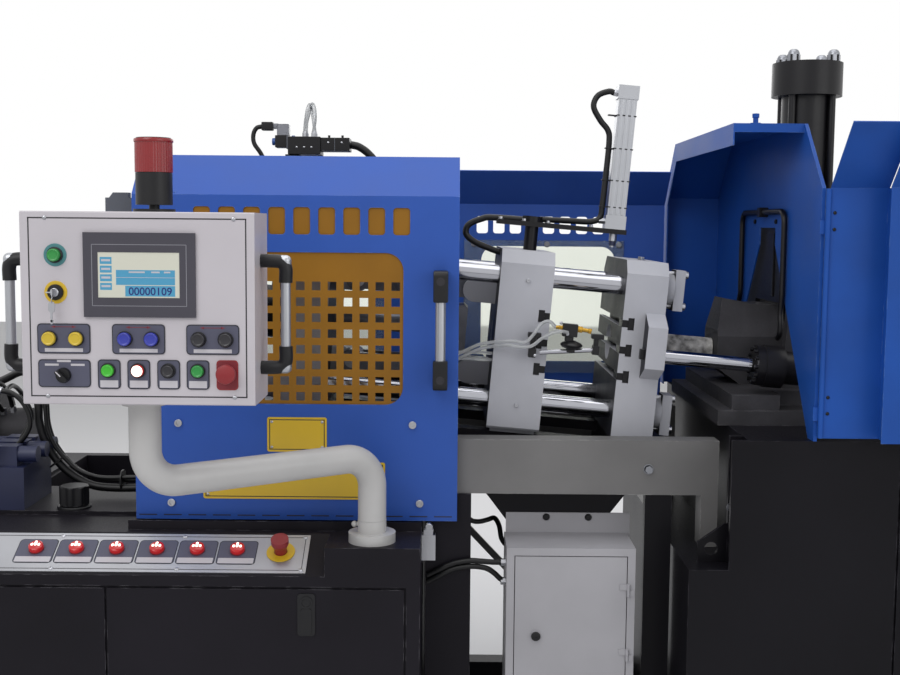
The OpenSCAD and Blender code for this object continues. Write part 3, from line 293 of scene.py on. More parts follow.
YELLOW_LENS = Finish("yellow_lens", (214, 184, 48), 0.34, mottle=0.05, coat=0.3)
BLUE_LENS = Finish("blue_lens", (48, 58, 168), 0.32, mottle=0.06, coat=0.3)
BLACK_LENS = Finish("black_lens", (34, 33, 38), 0.38, mottle=0.06, coat=0.2)
GREEN_LENS = Finish("green_lens", (38, 146, 62), 0.32, mottle=0.05, coat=0.3)
BRIGHT_GREEN = Finish("bright_green_lens", (58, 176, 40), 0.32, coat=0.3, glow=0.12)
TEAL_RING = Finish("teal_ring", (74, 134, 138), mottle=0.05)
RED_CAP = Finish("red_cap", (140, 32, 38), 0.4, mottle=0.07, coat=0.12)
RED_PLATE = Finish("red_plate", (122, 34, 44), 0.5, mottle=0.06)
RED_GLOW = Finish("red_glow", (176, 14, 18), 0.34, mottle=0.1, glow=0.35, coat=0.4)
HOT_GLOW = Finish("hot_glow", (255, 232, 218), 0.4, mottle=0.02, glow=2.0)
RED_LENS = Finish("red_lens", (140, 20, 26), 0.3, mottle=0.12, coat=0.25)
SCREEN_FRAME = Finish("screen_frame", (64, 62, 72), 0.5, bump=0.06, grain_scale=700)
SCREEN_LINE = Finish("screen_line", (150, 150, 158), 0.5)
SCREEN_PALE = Finish("screen_pale", (206, 206, 192), 0.35, glow=0.12, mottle=0.01)
SCREEN_BLUE = Finish("screen_blue", (74, 150, 186), 0.35, glow=0.12, mottle=0.01)
NAVY = Finish("screen_navy", (22, 36, 110), 0.35, glow=0.05, mottle=0.01)
INK = Finish("black_ink", (30, 28, 34), 0.5, bump=0.0, mottle=0.05)
CLEAR = Finish("clear_sheet", (236, 240, 230), 0.06, mottle=0.01, bump=0.0, clear=0.94)
SOFT_HOSE = Finish("clear_hose", (206, 208, 210), 0.2, mottle=0.05, bump=0.0, clear=0.5)
GREY_CLEAR = Finish("smoked_connector", (150, 152, 160), 0.22, mottle=0.1, clear=0.4)
NAVY_PART = Finish("navy_coil", (30, 36, 68), mottle=0.15, bump=0.06)
KNOB_BLUE = Finish("override_blue", (58, 96, 168), 0.4, mottle=0.06)

# Finish, edge rounding in millimetres and the CAD nodes that have both
NODE_FINISH: tuple[tuple[Finish, float, str], ...] = (
    (DARK, 2.0, "base_cabinet frame_leg"), (DARK, 1.5, "clamp_bed"),
    (STRIP_STEEL, 0.0, "console_plate"), (RED_CAP, 0.0, "emergency_stop"),
    (CAST, 1.0, "pump_motor"), (CAST, 1.5, "injection_frame furnace"),
    (CAST, 3.0, "gooseneck"), (NAVY_PART, 1.0, "hydraulic_manifold"),
    (STEEL, 1.0, "leveling_feet"), (BEAM_GREY, 2.0, "front_beam"),
    (BEAM_GREY, 1.5, "rear_beam"), (PLATEN, 1.5, "fixed_platen tail_platen moving_platen"),
    (PLATEN, 1.0, "keeper_plates"), (CHROME, 1.0, "tie_bars"), (BLACK, 0.0, "hood_rod"),
    (BLACK, 1.0, "clamp_cylinder injection_cylinder valve_block carrier_arm"),
    (BLACK, 0.6, "traverse_cylinders"), (BLACK, 0.5, "spray_arm"),
    (SLATE_PAINT, 1.0, "door_rail"), (BLUE, 0.5, "rear_guard sliding_door"),
    (CLEAR, 0.0, "rear_window"), (HOOD_BLUE, 0.6, "hood"), (HOOD_BLUE, 0.5, "guard_door"),
    # The chute is stainless steel; giving it the near-black furnace paint is painted shade, for
    # the shadow it lies in under the machine
    (HOT, 0.0, "nozzle"), (DARKER, 2.0, "furnace_base"), (DARKER, 0.5, "chute"),
    (PIPE_PAINT, 1.0, "arm_flange"), (PIPE_PAINT, 0.0, "arm_pipe"),
    (CABINET_GREY, 1.0, "heater_cabinet cabinet_door"), (ZINC, 1.0, "limit_switch"),
    (LINK, 2.0, "crosshead"), (ALLOY, 1.5, "air_cylinder"),
    (LINK, 1.5, "rear_link_upper rear_link_lower front_link_upper front_link_lower"),
    (LINK, 1.0, "drag_link_upper drag_link_lower"), (GOLD, 0.0, "window_grille"),
    (ALLOY, 0.0, "door_handle box_handles"), (PALE_PAINT, 0.0, "control_box"),
    (SCREEN_FRAME, 1.0, "touch_screen"), (BLACK_PLASTIC, 0.0, "beacon"),
)


def linked(name: str, data: bpy.types.ID) -> bpy.types.Object:
    """Makes an object and links it into the scene.

    Args:
        name: Its name.
        data: Its mesh, curve, lamp or camera.

    Returns:
        The new object.
    """
    obj = bpy.data.objects.new(name, data)
    bpy.context.scene.collection.objects.link(obj)
    return obj


def smooth(mesh: bpy.types.Mesh) -> None:
    """Shades a mesh smooth, with edges over 32 degrees kept sharp."""
    mesh.polygons.foreach_set("use_smooth", [True] * len(mesh.polygons))
    mesh.set_sharp_from_angle(angle=SHARP_ANGLE)


def flatten(obj: bpy.types.Object) -> None:
    """Lets large faces shade flat, so only the rounding beside them curves."""
    even = obj.modifiers.new("flat_faces", "WEIGHTED_NORMAL")
    even.mode, even.weight, even.keep_sharp = "FACE_AREA", FACE_WEIGHT, True


def placed(origin: Point, normal: Point = UP) -> Matrix:
    """Makes a frame whose Z is a surface's normal and whose Y leans up.

    Args:
        origin: The frame's origin in millimetres.
        normal: The direction of its Z axis; where it is upright, Y points back.

    Returns:
        The 4 by 4 matrix of the frame.
    """
    z = Vector(normal).normalized()
    x = Vector((0, 1, 0) if abs(z.z) > 0.98 else UP).cross(z).normalized()
    return Matrix.Translation(origin) @ Matrix((x, z.cross(x), z)).transposed().to_4x4()


def rounded(w: float, h: float, r: float) -> list[Point]:
    """Gives the outline of a rectangle with round corners, centred on 0, 0.

    Args:
        w: Its width.
        h: Its height.
        r: The corners' radius.

    Returns:
        The outline's points.
    """
    points = []
    for cx, cy, start in ((1, 1, 0), (-1, 1, 90), (-1, -1, 180), (1, -1, 270)):
        for i in range(CORNER_STEPS + 1):
            a = math.radians(start + 90 * i / CORNER_STEPS)
            points.append((cx * (w / 2 - r) + r * math.cos(a),
                           cy * (h / 2 - r) + r * math.sin(a)))
    return points


def ring_points(r: float, count: int, turn: float = 0.0) -> list[Point]:
    """Gives points round a circle, starting at an angle in degrees."""
    turns = [math.radians(turn) + math.tau * i / count for i in range(count)]
    return [(r * math.cos(a), r * math.sin(a)) for a in turns]


def flat(y: float, *pairs: Span) -> list[Point]:
    """Gives points at one Y from pairs of X and Z."""
    return [(x, y, z) for x, z in pairs]


def smooth_path(points: Sequence[Point], steps: int) -> list[Vector]:
    """Gives a smooth curve through points.

    Args:
        points: The points that it passes through.
        steps: Segments between two points.

    Returns:
        The points of the curve.
    """
    p = [Vector(q) for q in points]
    p = [p[0] * 2 - p[1], *p, p[-1] * 2 - p[-2]]
    path = []
    for a, b, c, d in zip(p, p[1:], p[2:], p[3:]):
        for k in range(steps):
            t = k / steps
            path.append(0.5 * ((2 * b) + (c - a) * t + (2 * a - 5 * b + 4 * c - d) * t * t
                               + (3 * b - a - 3 * c + d) * t ** 3))
    return [*path, p[-2]]


class Shape:
    """A mesh that gathers the solids of one piece, in millimetres in a frame."""

    def __init__(self, within: Matrix | None = None) -> None:
        """Starts an empty mesh in a frame, or else in the row frame."""
        self.mesh = bmesh.new()
        self.within = within or Matrix()

    def prism(self, outline: Sequence[Point], depth: float, at: Matrix,
              bevel: float = 0.0) -> Shape:
        """Adds an outline extruded along its frame's Z.

        Args:
            outline: Points in the frame's X and Y, counter-clockwise.
            depth: How far it is extruded.
            at: The frame.
            bevel: Rounding of its edges.

        Returns:
            This shape, for the next call.
        """
        low, high = [[self.mesh.verts.new(at @ Vector((*p, z))) for p in outline]
                     for z in (0, depth)]
        faces = [self.mesh.faces.new(low[::-1]), self.mesh.faces.new(high)]
        count = len(outline)
        for i in range(count):
            j = (i + 1) % count
            faces.append(self.mesh.faces.new((low[i], low[j], high[j], high[i])))
        if bevel > 0:
            edges = {e for f in (faces[:2] if count > 8 else faces) for e in f.edges}
            bmesh.ops.bevel(self.mesh, geom=list(edges), offset=bevel, segments=2,
                            profile=0.6, affect="EDGES", clamp_overlap=True)
        return self

    def block(self, low: Point, high: Point, bevel: float = 0.0) -> Shape:
        """Adds a block between two corners.

        Args:
            low: The corner with the smaller coordinates.
            high: The other corner.
            bevel: Rounding of its edges.

        Returns:
            This shape, for the next call.
        """
        (a, b, z0), (c, d, z1) = low, high
        return self.prism([(a, b), (c, b), (c, d), (a, d)], z1 - z0, placed((0, 0, z0)), bevel)

    def border(self, x: Span, y: Span, w: float, depth: float, at: Matrix) -> Shape:
        """Adds a rectangular line of four bars.

        Args:
            x: Its outer edges in the frame's X.
            y: Its outer edges in the frame's Y.
            w: The line's width.
            depth: Its thickness.
            at: The frame.

        Returns:
            This shape, for the next call.
        """
        (x0, x1), (y0, y1) = x, y
        for a, b, c, d in ((x0, x1, y0, y0 + w), (x0, x1, y1 - w, y1),
                           (x0, x0 + w, y0, y1), (x1 - w, x1, y0, y1)):
            self.prism([(a, c), (b, c), (b, d), (a, d)], depth, at)
        return self

    def lathe(self, profile: Sequence[Point], at: Matrix, steps: int = 40) -> Shape:
        """Adds a profile of radius and height turned about its frame's Z.

        Args:
            profile: Pairs of radius and height; a radius of 0 closes an end.
            at: The frame.
            steps: How many segments go round.

        Returns:
            This shape, for the next call.
        """
        rings = [[self.mesh.verts.new(at @ Vector((x, y, z)))
                  for x, y in (ring_points(r, steps) if r > 1e-6 else [(0, 0)])]
                 for r, z in profile]
        for a, b in zip(rings, rings[1:]):
            for i in range(steps):
                j = (i + 1) % steps
                quad = [a[i % len(a)], a[j % len(a)], b[j % len(b)], b[i % len(b)]]
                corners = list(dict.fromkeys(quad))
                if len(corners) > 2:
                    self.mesh.faces.new(corners)
        return self

    def rod(self, start: Point, end: Point, r: float, steps: int = 24,
            edge: float = 0.0) -> Shape:
        """Adds a round rod between two points.

        Args:
            start: The middle of its first end.
            end: The middle of its other end.
            r: Its radius.
            steps: How many segments go round.
            edge: The chamfer of its ends.

        Returns:
            This shape, for the next call.
        """
        way = Vector(end) - Vector(start)
        h = way.length
        profile = [(0, 0), (r, 0), (r, h), (0, h)]
        if edge:
            profile[1:3] = [(r - edge, 0), (r, edge), (r, h - edge), (r - edge, h)]
        return self.lathe(profile, placed(start, way), steps)

    def sweep(self, points: Sequence[Point], r: float, steps: int = 12,
              smooth_steps: int = 6) -> Shape:
        """Adds a round hose along a smooth curve through points.

        Args:
            points: Points that the curve passes through.
            r: The hose's radius.
            steps: Segments round the hose.
            smooth_steps: Segments between two points.

        Returns:
            This shape, for the next call.
        """
        path = smooth_path(points, smooth_steps)
        side = (path[1] - path[0]).normalized().orthogonal().normalized()
        rings = []
        for i, p in enumerate(path):
            step = (path[min(i + 1, len(path) - 1)] - path[max(i - 1, 0)]).normalized()
            side = (side - step * side.dot(step)).normalized()
            other = step.cross(side)
            rings.append([self.mesh.verts.new(p + side * x + other * y)
                          for x, y in ring_points(r, steps)])
        for a, b in zip(rings, rings[1:]):
            for i in range(steps):
                j = (i + 1) % steps
                self.mesh.faces.new((a[i], a[j], b[j], b[i]))
        self.mesh.faces.new(rings[0][::-1])
        self.mesh.faces.new(rings[-1])
        return self

    def heads(self, points: Iterable[Point], normal: Point, r: float, head: Head,
              h: float) -> Shape:
        """Adds bolt or screw heads that stand on a surface.

        Args:
            points: Where they stand.
            normal: The surface's normal.
            r: Their radius.
            head: Their kind.
            h: Their height.

        Returns:
            This shape, for the next call.
        """
        round_heads = {
            Head.SOCKET: [(r, 0), (r, h - 0.6), (r - 0.6, h), (r * 0.55, h),
                          (r * 0.5, h * 0.45), (0, h * 0.45)],
            Head.DOME: [(r, 0), (r * 0.9, h * 0.45), (r * 0.6, h * 0.75),
                        (r * 0.35, h * 0.8), (r * 0.3, h * 0.5), (0, h * 0.5)],
            Head.HEX: [(0, 0), (r * 1.25, 0), (r * 1.25, 1), (r * 1.1, 1.2)]}
        for at in [placed(p, normal) for p in points]:
            self.lathe(round_heads[head], at, 24)
            if head is Head.HEX:
                self.prism(ring_points(r, 6, 17), h, at @ placed((0, 0, 1)), 0.5)
        return self

    def piece(self, name: str, finish: Finish, body: Body, slot: str = "",
              stands_for: str = "") -> bpy.types.Object:
        """Makes the object, in metres, and lets it ride on a body.

        Args:
            name: The piece's name.
            finish: Its surface finish.
            body: The body that it moves with.
            slot: Not used.
            stands_for: The CAD node that it replaces, if any.

        Returns:
            The new object.
        """
        bmesh.ops.remove_doubles(self.mesh, verts=self.mesh.verts,
                                 dist=MERGE_DISTANCE)
        bmesh.ops.recalc_face_normals(self.mesh, faces=self.mesh.faces)
        self.mesh.transform(Matrix.Scale(MM, 4) @ self.within)
        data = bpy.data.meshes.new(name)
        self.mesh.to_mesh(data)
        self.mesh.free()
        obj = linked(name, data)
        data.materials.append(finish.material())
        smooth(data)
        flatten(obj)
        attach(obj, body.value)
        if stands_for:
            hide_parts(stands_for)
        LOG.info("%s: %d faces on %s", name, len(data.polygons), body.value)
        return obj


@dataclass
class Hose:
    """A hose along a smooth curve through points."""

    points: Sequence[Point]
    r: float
    stiffness: str = "stiff"
    far_end: str = "object"

    def build(self, name: str, finish: Finish, body: Body,
              ends: Sequence[bpy.types.Object] = ()) -> None:
        """Args:
            name: The piece's name.
            finish: Its surface finish.
            body: The body that it moves with.
            ends: Not used.
        """
        made = Shape().sweep(self.points, self.r, 16, HOSE_STEPS).piece(name, finish, body)


@dataclass
class PhotoCamera:
    """The camera at the photograph's place."""

    place: Point = (0.0, -3130.0, 1500.0)
    pitch: float = 5.3
    roll: float = 0.5
    sensor: float = 36.0
    focal_px: float = 1200.0
    picture_px: float = 900.0
    sight: float = 100.0

    def build(self) -> None:
        """Makes the camera and sets it as the scene's."""
        data = bpy.data.cameras.new("photo_camera")
        data.sensor_width = self.sensor
        data.lens = self.sensor * self.focal_px / self.picture_px
        data.clip_end = self.sight
        cam = linked("photo_camera", data)
        tilt = Matrix.Rotation(math.radians(90 - self.pitch), 4, "X")
        turn = Matrix.Rotation(math.radians(self.roll), 4, "Z")
        cam.matrix_world = Matrix.Translation(Vector(self.place) * MM) @ tilt @ turn
        bpy.context.scene.camera = cam


@dataclass
class Studio:
    """A pale floor, a pale world and soft lamps, in metres."""

    half_floor: float = 15.0
    floor: Finish = Finish("floor_paint", (236, 236, 238), 0.8, mottle=0.01, bump=0.0,
                           patch_scale=0.6)
    world_light: float = 0.42
    lamps: tuple[tuple[str, Point, Point, float, float], ...] = (
        ("key", (-2.6, -4.2, 4.6), (0, 0, 1.0), 3.4, 96),
        ("fill", (3.6, -3.8, 2.6), (0.3, 0, 1.0), 3.0, 36),
        ("top", (0.2, -0.6, 5.4), (0, 0, 1.0), 4.0, 78),
        ("back", (0.5, 4.6, 3.6), (0, 0, 1.0), 3.6, 46))

    def build(self) -> None:
        """Makes the world, the floor and the square lamps, each with its target."""
        bpy.context.scene.view_settings.view_transform = "Standard"
        self._world()
        self._floor()
        for name, place, target, size, watts in self.lamps:
            data = bpy.data.lights.new(name, "AREA")
            data.shape, data.size, data.energy = "SQUARE", size, watts
            lamp = linked(name, data)
            look = Vector(target) - Vector(place)
            lamp.rotation_euler = look.to_track_quat("-Z", "Y").to_euler()
            lamp.location = place

    def _world(self) -> None:
        """Shows a white world to the camera and to gloss, and lights softly with it."""
        world = bpy.data.worlds.new("pale_world")
        bpy.context.scene.world = world
        world.use_nodes = True
        tree = world.node_tree
        rays = node(tree, "LightPath", 0).node.outputs
        seen = node(tree, "Math", 0, {0: rays["Is Camera Ray"],
                                      1: rays["Is Transmission Ray"]}, operation="MAXIMUM")
        shown = node(tree, "Math", 0, {0: seen, 1: rays["Is Glossy Ray"]},
                     operation="MAXIMUM")
        level = node(tree, "MapRange", "Result", {"Value": shown, "To Max": 1.0,
                                                  "To Min": self.world_light})
        feed(tree, tree.nodes["Background"], {"Color": (1, 1, 1, 1), "Strength": level})

    def _floor(self) -> None:
        """Makes the floor."""
        s = self.half_floor
        data = bpy.data.meshes.new("studio_floor")
        data.from_pydata([(-s, -s, 0), (s, -s, 0), (s, s, 0), (-s, s, 0)], [], [(0, 1, 2, 3)])
        data.materials.append(self.floor.material())
        linked("studio_floor", data)


class CastParts:
    """The CAD nodes, with their finishes and softly rounded edges."""

    def dress(self, nodes: dict[str, bpy.types.Object]) -> None:
        """Gives each listed node its finish and, where it has one, its edge rounding.

        Args:
            nodes: The CAD nodes by name.
        """
        for finish, edge, names in NODE_FINISH:
            for obj in [nodes[name] for name in names.split()]:
                obj.data.materials.clear()
                obj.data.materials.append(finish.material())
                smooth(obj.data)
                if edge:
                    soft = obj.modifiers.new("soft_edge", "BEVEL")
                    soft.width, soft.segments = edge * MM, 2
                    soft.limit_method, soft.angle_limit = "ANGLE", SOFT_ANGLE
                    soft.harden_normals = False
                    flatten(obj)
                LOG.info("%s: %s", obj.name, finish.name)


@dataclass
class PushButton:
    """A 22 mm push button: a bezel, a cap and, where lit, a bright middle."""

    bezel_r: float = 14.8
    cap_r: float = 12.9
    rise: float = 12.0

    def add(self, name: str, at: Matrix, cap: Finish, lit: bool = False) -> None:
        """Makes the button on the panel.

        Args:
            name: The start of its pieces' names.
            at: Its frame, with Z out of the panel.
            cap: The cap's finish.
            lit: Whether its middle glows.
        """
        r, c, h = self.bezel_r, self.cap_r, self.rise
        Shape().lathe([(0, 0), (r, 0), (r, 3.5), (r - 1.5, 5), (c + 0.6, 5.4), (c + 0.3, 2),
                       (0, 2)], at).piece(name + "_bezel", BLACK_PLASTIC, Body.PANEL)
        Shape().lathe([(0, 2.2), (c, 2.2), (c, h - 2.5), (c - 0.8, h - 0.8), (c - 2, h),
                       (c - 3.4, h - 0.3), (c - 4.6, h - 1.2), (0, h - 1.6)],
                      at).piece(name + "_cap", cap, Body.PANEL)
        if lit:
            Shape().lathe([(c - 0.6, h - 1.6), (c - 1.4, h - 0.2), (c - 3, h + 0.4),
                           (0, h + 0.5)], at).piece(name + "_light", HOT_GLOW, Body.PANEL)


@dataclass
class Facing:
    """A sub-assembly with a flat front that faces the operator."""

    front: float = 0.0

    def on(self, x: float, z: float, out: float = 0.0) -> Matrix:
        """Gives a frame on the front, with Z towards the operator."""
        return placed((x, self.front - out, z), FRONT)


@dataclass
class ControlPanel(Facing):
    """The swinging control box's front, handles and warning lamp."""

    front: float = -875.0
    x: Span = (-808.0, -368.0)
    z: Span = (1157.0, 1522.0)
    inset: float = 15.0
    top_inset: float = 11.5
    screw_x: Span = (-761.0, -407.0)
    line: float = 2.4
    screen_x: Span = (-688.5, -478.5)
    screen_z: Span = (1324.0, 1483.0)
    picture_left: float = -661.0
    picture_right: float = -516.5
    picture_top: float = 1446.0
    picture_out: float = 5.1
    tile_pitch: float = 16.2
    count: str = "00000109"
    count_size: float = 20.5
    jog_label_x: Point = (-728.5, -587.5, -447.5)
    cycle_label_x: Point = (-644.0, -588.0, -531.5, -476.0)
    stop_x: float = -420.5
    lamp_test: Span = (-742.0, 1440.0)
    key: Span = (-742.0, 1370.0)
    selector: Span = (-730.0, 1213.0)
    selector_turn: float = 135.0
    grip_z: Span = (1222.0, 1430.0)
    grip_y: float = -800.0
    grip_off: float = 48.0
    beacon: Point = (-573.0, -800.0, 1522.0)
    ribs: int = 44
    rib_r: Span = (35.2, 35.9)

    def build(self) -> None:
        """Makes all of the panel's pieces."""
        self._border()
        self._screen()
        self._labels()
        self._buttons()
        self._key_switch()
        self._grips()
        self._beacon()

    def _border(self) -> None:
        """Draws the black line round the front, with its four screws."""
        f, (x0, x1), (z0, z1) = self.front, self.x, self.z
        low, high = z0 + self.inset, z1 - self.top_inset
        Shape().border((x0 + self.inset, x1 - self.inset), (low, high), self.line, 0.3,
                       self.on(0, 0)).piece("panel_border", INK, Body.PANEL)
        spots = [(x, f - 0.2, z) for x in self.screw_x for z in (low + 1, high - 1)]
        Shape().heads(spots, FRONT, 4.2, Head.DOME, 2.6).piece(
            "panel_screws", ZINC, Body.PANEL)
        Shape().block((x0 + 1.5, f - 0.05, z0 + 1.5), (x1 - 1.5, f + 2.5, z1 - 1.5),
                      1.2).piece("panel_sheet", PALE_PAINT, Body.PANEL)

    def _screen(self) -> None:
        """Makes the touch screen's line, picture and plain count."""
        (x0, x1), (z0, z1) = self.screen_x, self.screen_z
        Shape().border((x0 + 16, x1 - 16), (z0 + 21, z1 - 22), 1, 0.2,
                       self.on(0, 0, 6)).piece("screen_line", SCREEN_LINE, Body.PANEL)
        left, right, top = self.picture_left, self.picture_right, self.picture_top
        g = self.front - self.picture_out
        Shape().block((left, g - 0.1, 1361), (-508, g + 0.1, top)).piece(
            "screen_glass", SCREEN_PALE, Body.PANEL)
        tiles, bars = Shape(), Shape()
        for i in range(4):
            z = top - 22 - i * self.tile_pitch
            tiles.block((left + 4, g - 0.3, z), (left + 26, g - 0.1, z + 13))
            bars.block((left + 6.5, g - 0.4, z + 5), (left + 23.5, g - 0.3, z + 9))
        tiles.block((left + 34, g - 0.3, 1385), (right, g - 0.1, 1413))
        tiles.block((left + 51, g - 0.3, 1363.5), (right, g - 0.1, 1383.5))
        tiles.piece("screen_tiles", SCREEN_BLUE, Body.PANEL)
        for x, w in ((58, 30), (100, 16), (124, 12)):
            bars.block((left + x, g - 0.4, 1407.5), (left + x + w, g - 0.3, 1410.5))
        bars.block((left + 34, g - 0.4, 1398.5), (right, g - 0.3, 1399.3))
        bars.piece("screen_bars", WHITE_STRIP, Body.PANEL)
        self._count(Vector((left + 57, g - 0.35, 1366.2)))

    def _count(self, place: Vector) -> None:
        """Writes the plain count of the display.

        Args:
            place: The lower left corner of its digits.
        """
        text = bpy.data.curves.new("screen_count", "FONT")
        text.body, text.size = self.count, self.count_size * MM
        text.offset, text.extrude = 0.25 * MM, 0.05 * MM
        obj = linked("screen_count", text)
        obj.matrix_world = (Matrix.Translation(place * MM)
                            @ Matrix.Rotation(math.radians(90), 4, "X"))
        bpy.context.view_layer.update()
        mesh = bpy.data.meshes.new_from_object(obj)
        made = linked("screen_digits", mesh)
        made.matrix_world = obj.matrix_world
        bpy.data.objects.remove(obj)
        mesh.materials.clear()
        mesh.materials.append(NAVY.material())
        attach(made, Body.PANEL.value)
        LOG.info("%s: %d faces on %s", made.name, len(mesh.polygons), Body.PANEL.value)

    def _labels(self) -> None:
        """Makes the label plates, their double arrows and their blank strips."""
        edges, faces, stop_edge, stop, strips, arrows = [Shape() for _ in range(6)]
        plates = [(edges, faces, x, 1282.5, 100, 57) for x in self.jog_label_x]
        plates += [(edges, faces, -728.5, 1216.5, 99, 53)]
        plates += [(edges, faces, x, 1215.5, 43, 56) for x in self.cycle_label_x]
        plates += [(stop_edge, stop, self.stop_x, 1215.5, 41, 57)]
        for edge, face, x, z, w, h in plates:
            edge.prism(rounded(w, h, 7), 1.9, self.on(x, z), 0.4)
            face.prism(rounded(w - 4, h - 4, 6), 2.2, self.on(x, z), 0.2)
        blanks = [(x, 36, 1257.5, 7) for x in self.jog_label_x]
        blanks += [(-752, 13, 1231, 4), (-729, 13, 1238, 4), (-703, 13, 1231, 4)]
        blanks += [(x, 17, 1190.5, 13.5) for x in self.cycle_label_x]
        for x, w, z, h in blanks:
            strips.block((x - w, self.front - 2.5, z), (x + w, self.front - 2.1, z + h))
        for at in [self.on(x, 1305, 2.1) for x in self.jog_label_x]:
            arrows.prism([(-18, -0.6), (18, -0.6), (18, 0.6), (-18, 0.6)], 0.4, at)
            arrows.prism([(-24, 0), (-16, -2.6), (-16, 2.6)], 0.4, at)
            arrows.prism([(24, 0), (16, 2.6), (16, -2.6)], 0.4, at)
        edges.piece("label_edges", SLATE_EDGE, Body.PANEL, "black_plastic", "panel_buttons")
        faces.piece("label_faces", SLATE, Body.PANEL)
        stop_edge.piece("stop_label_edge", RED_CAP, Body.PANEL)
        stop.piece("stop_label", RED_PLATE, Body.PANEL)
        strips.piece("label_strips", WHITE_STRIP, Body.PANEL)
        arrows.piece("label_arrows", RED_INK, Body.PANEL)

    def _buttons(self) -> None:
        """Makes the two rows of buttons, the selector and the stop button."""
        row = ((-755, YELLOW_LENS), (-704.5, YELLOW_LENS), (-613, BLUE_LENS),
               (-562.5, BLUE_LENS), (-474, BLACK_LENS), (-423, BLACK_LENS))
        for i, (x, cap) in enumerate(row):
            PushButton().add(f"jog_button_{i}", self.on(x, 1283, 2), cap)
        low = ((-645.5, BRIGHT_GREEN), (-589, RED_GLOW), (-532, BLACK_LENS),
               (-476, GREEN_LENS))
        for i, (x, cap) in enumerate(low):
            PushButton(14.2, 11.7, 11.0).add(f"cycle_button_{i}", self.on(x, 1223, 2), cap,
                                             cap is RED_GLOW)
        Shape().lathe([(0, 0), (13, 0), (13, 9), (17.4, 12), (18.7, 16), (18.7, 19.5),
                       (17.4, 22.4), (12, 24), (0, 24.4)], self.on(self.stop_x, 1219, 1.5)
                      ).piece("panel_stop_button", RED_CAP, Body.PANEL)
        at = self.on(*self.selector, 2)
        turned = at @ Matrix.Rotation(math.radians(self.selector_turn), 4, "Z")
        Shape().lathe([(0, 0), (14.5, 0), (14.5, 4), (13, 8), (0, 8.5)], at).prism(
            rounded(27, 8, 3), 21, turned, 1).piece("mode_selector", BLACK_PLASTIC, Body.PANEL)
        Shape().prism(rounded(13, 2.2, 1), 0.5, turned @ placed((6, 0, 21))).piece(
            "selector_mark", WHITE_STRIP, Body.PANEL)
        self._ring(self.lamp_test, "lamp_test_ring", TEAL_RING)
        PushButton(15, 12, 14).add("lamp_test", self.on(*self.lamp_test, 1.4), GREEN_LENS)

    def _ring(self, place: Span, name: str, finish: Finish) -> None:
        """Makes the flat ring under a switch."""
        Shape().lathe([(0, 0), (21.5, 0), (21.5, 1.2), (20.8, 1.6), (0, 1.6)],
                      self.on(*place)).piece(name, finish, Body.PANEL)

    def _key_switch(self) -> None:
        """Makes the yellow ring, the lock and its key."""
        self._ring(self.key, "key_ring", YELLOW)
        at, f = self.on(*self.key), self.front
        Shape().lathe([(0, 1), (15, 1), (15, 6), (13.5, 8.5), (9, 9), (0, 9)],
                      at).piece("key_lock", BLACK_PLASTIC, Body.PANEL)
        key = Shape().lathe([(0, 9), (8, 9), (8, 10.8), (6.8, 11.6), (0, 11.8)], at)
        key.block((-743.2, f - 25, 1363), (-740.8, f - 11, 1377), 0.5)
        key.block((-757, f - 14, 1368.8), (-742, f - 11.4, 1371.2), 0.5)
        key.prism(rounded(12.4, 21, 5.6), 2.0, self.on(-744.5, 1343, 18), 0.5)
        key.prism(rounded(4.2, 24, 1.2), 1.8, self.on(-745, 1323, 18.1), 0.4)
        key.prism(rounded(5.6, 4, 0.8), 1.8, self.on(-744, 1317, 18.1), 0.3)
        key.sweep([(-742, f - 22, 1362), (-743, f - 24, 1357), (-744, f - 20, 1351)], 0.9, 8)
        key.piece("key", ZINC, Body.PANEL)

    def _grips(self) -> None:
        """Makes the black elbows and end sleeves of both handles."""
        shape = Shape()
        for wall, side in ((self.x[1], 1), (self.x[0], -1)):
            bar = wall + side * self.grip_off
            for z, turn in zip(self.grip_z, (1, -1)):
                path = ((wall, z), (wall + side * 16, z), (bar - side * 9, z + turn * 2),
                        (bar, z + turn * 14), (bar, z + turn * 42))
                shape.sweep(flat(self.grip_y, *path), 13.2, 20, 8)
        shape.piece("grip_elbows", BLACK_PLASTIC, Body.PANEL, "black_plastic")

    def _beacon(self) -> None:
        """Makes the ribbed red lens of the warning lamp."""
        at = placed(self.beacon)
        outline = []
        for i, (x, y) in enumerate(ring_points(1.0, self.ribs * 4)):
            r = self.rib_r[i % 4 in (1, 2)]
            outline.append((r * x, r * y))
        lens = Shape().prism(outline, 58, at @ placed((0, 0, 76)))
        lens.lathe([(0, 133.5), (37, 133.5), (37.6, 135), (37.6, 138), (36.6, 140),
                    (30, 141.8), (0, 142)], at, 72)
        lens.piece("beacon_lens", RED_LENS, Body.PANEL, "red_plastic")


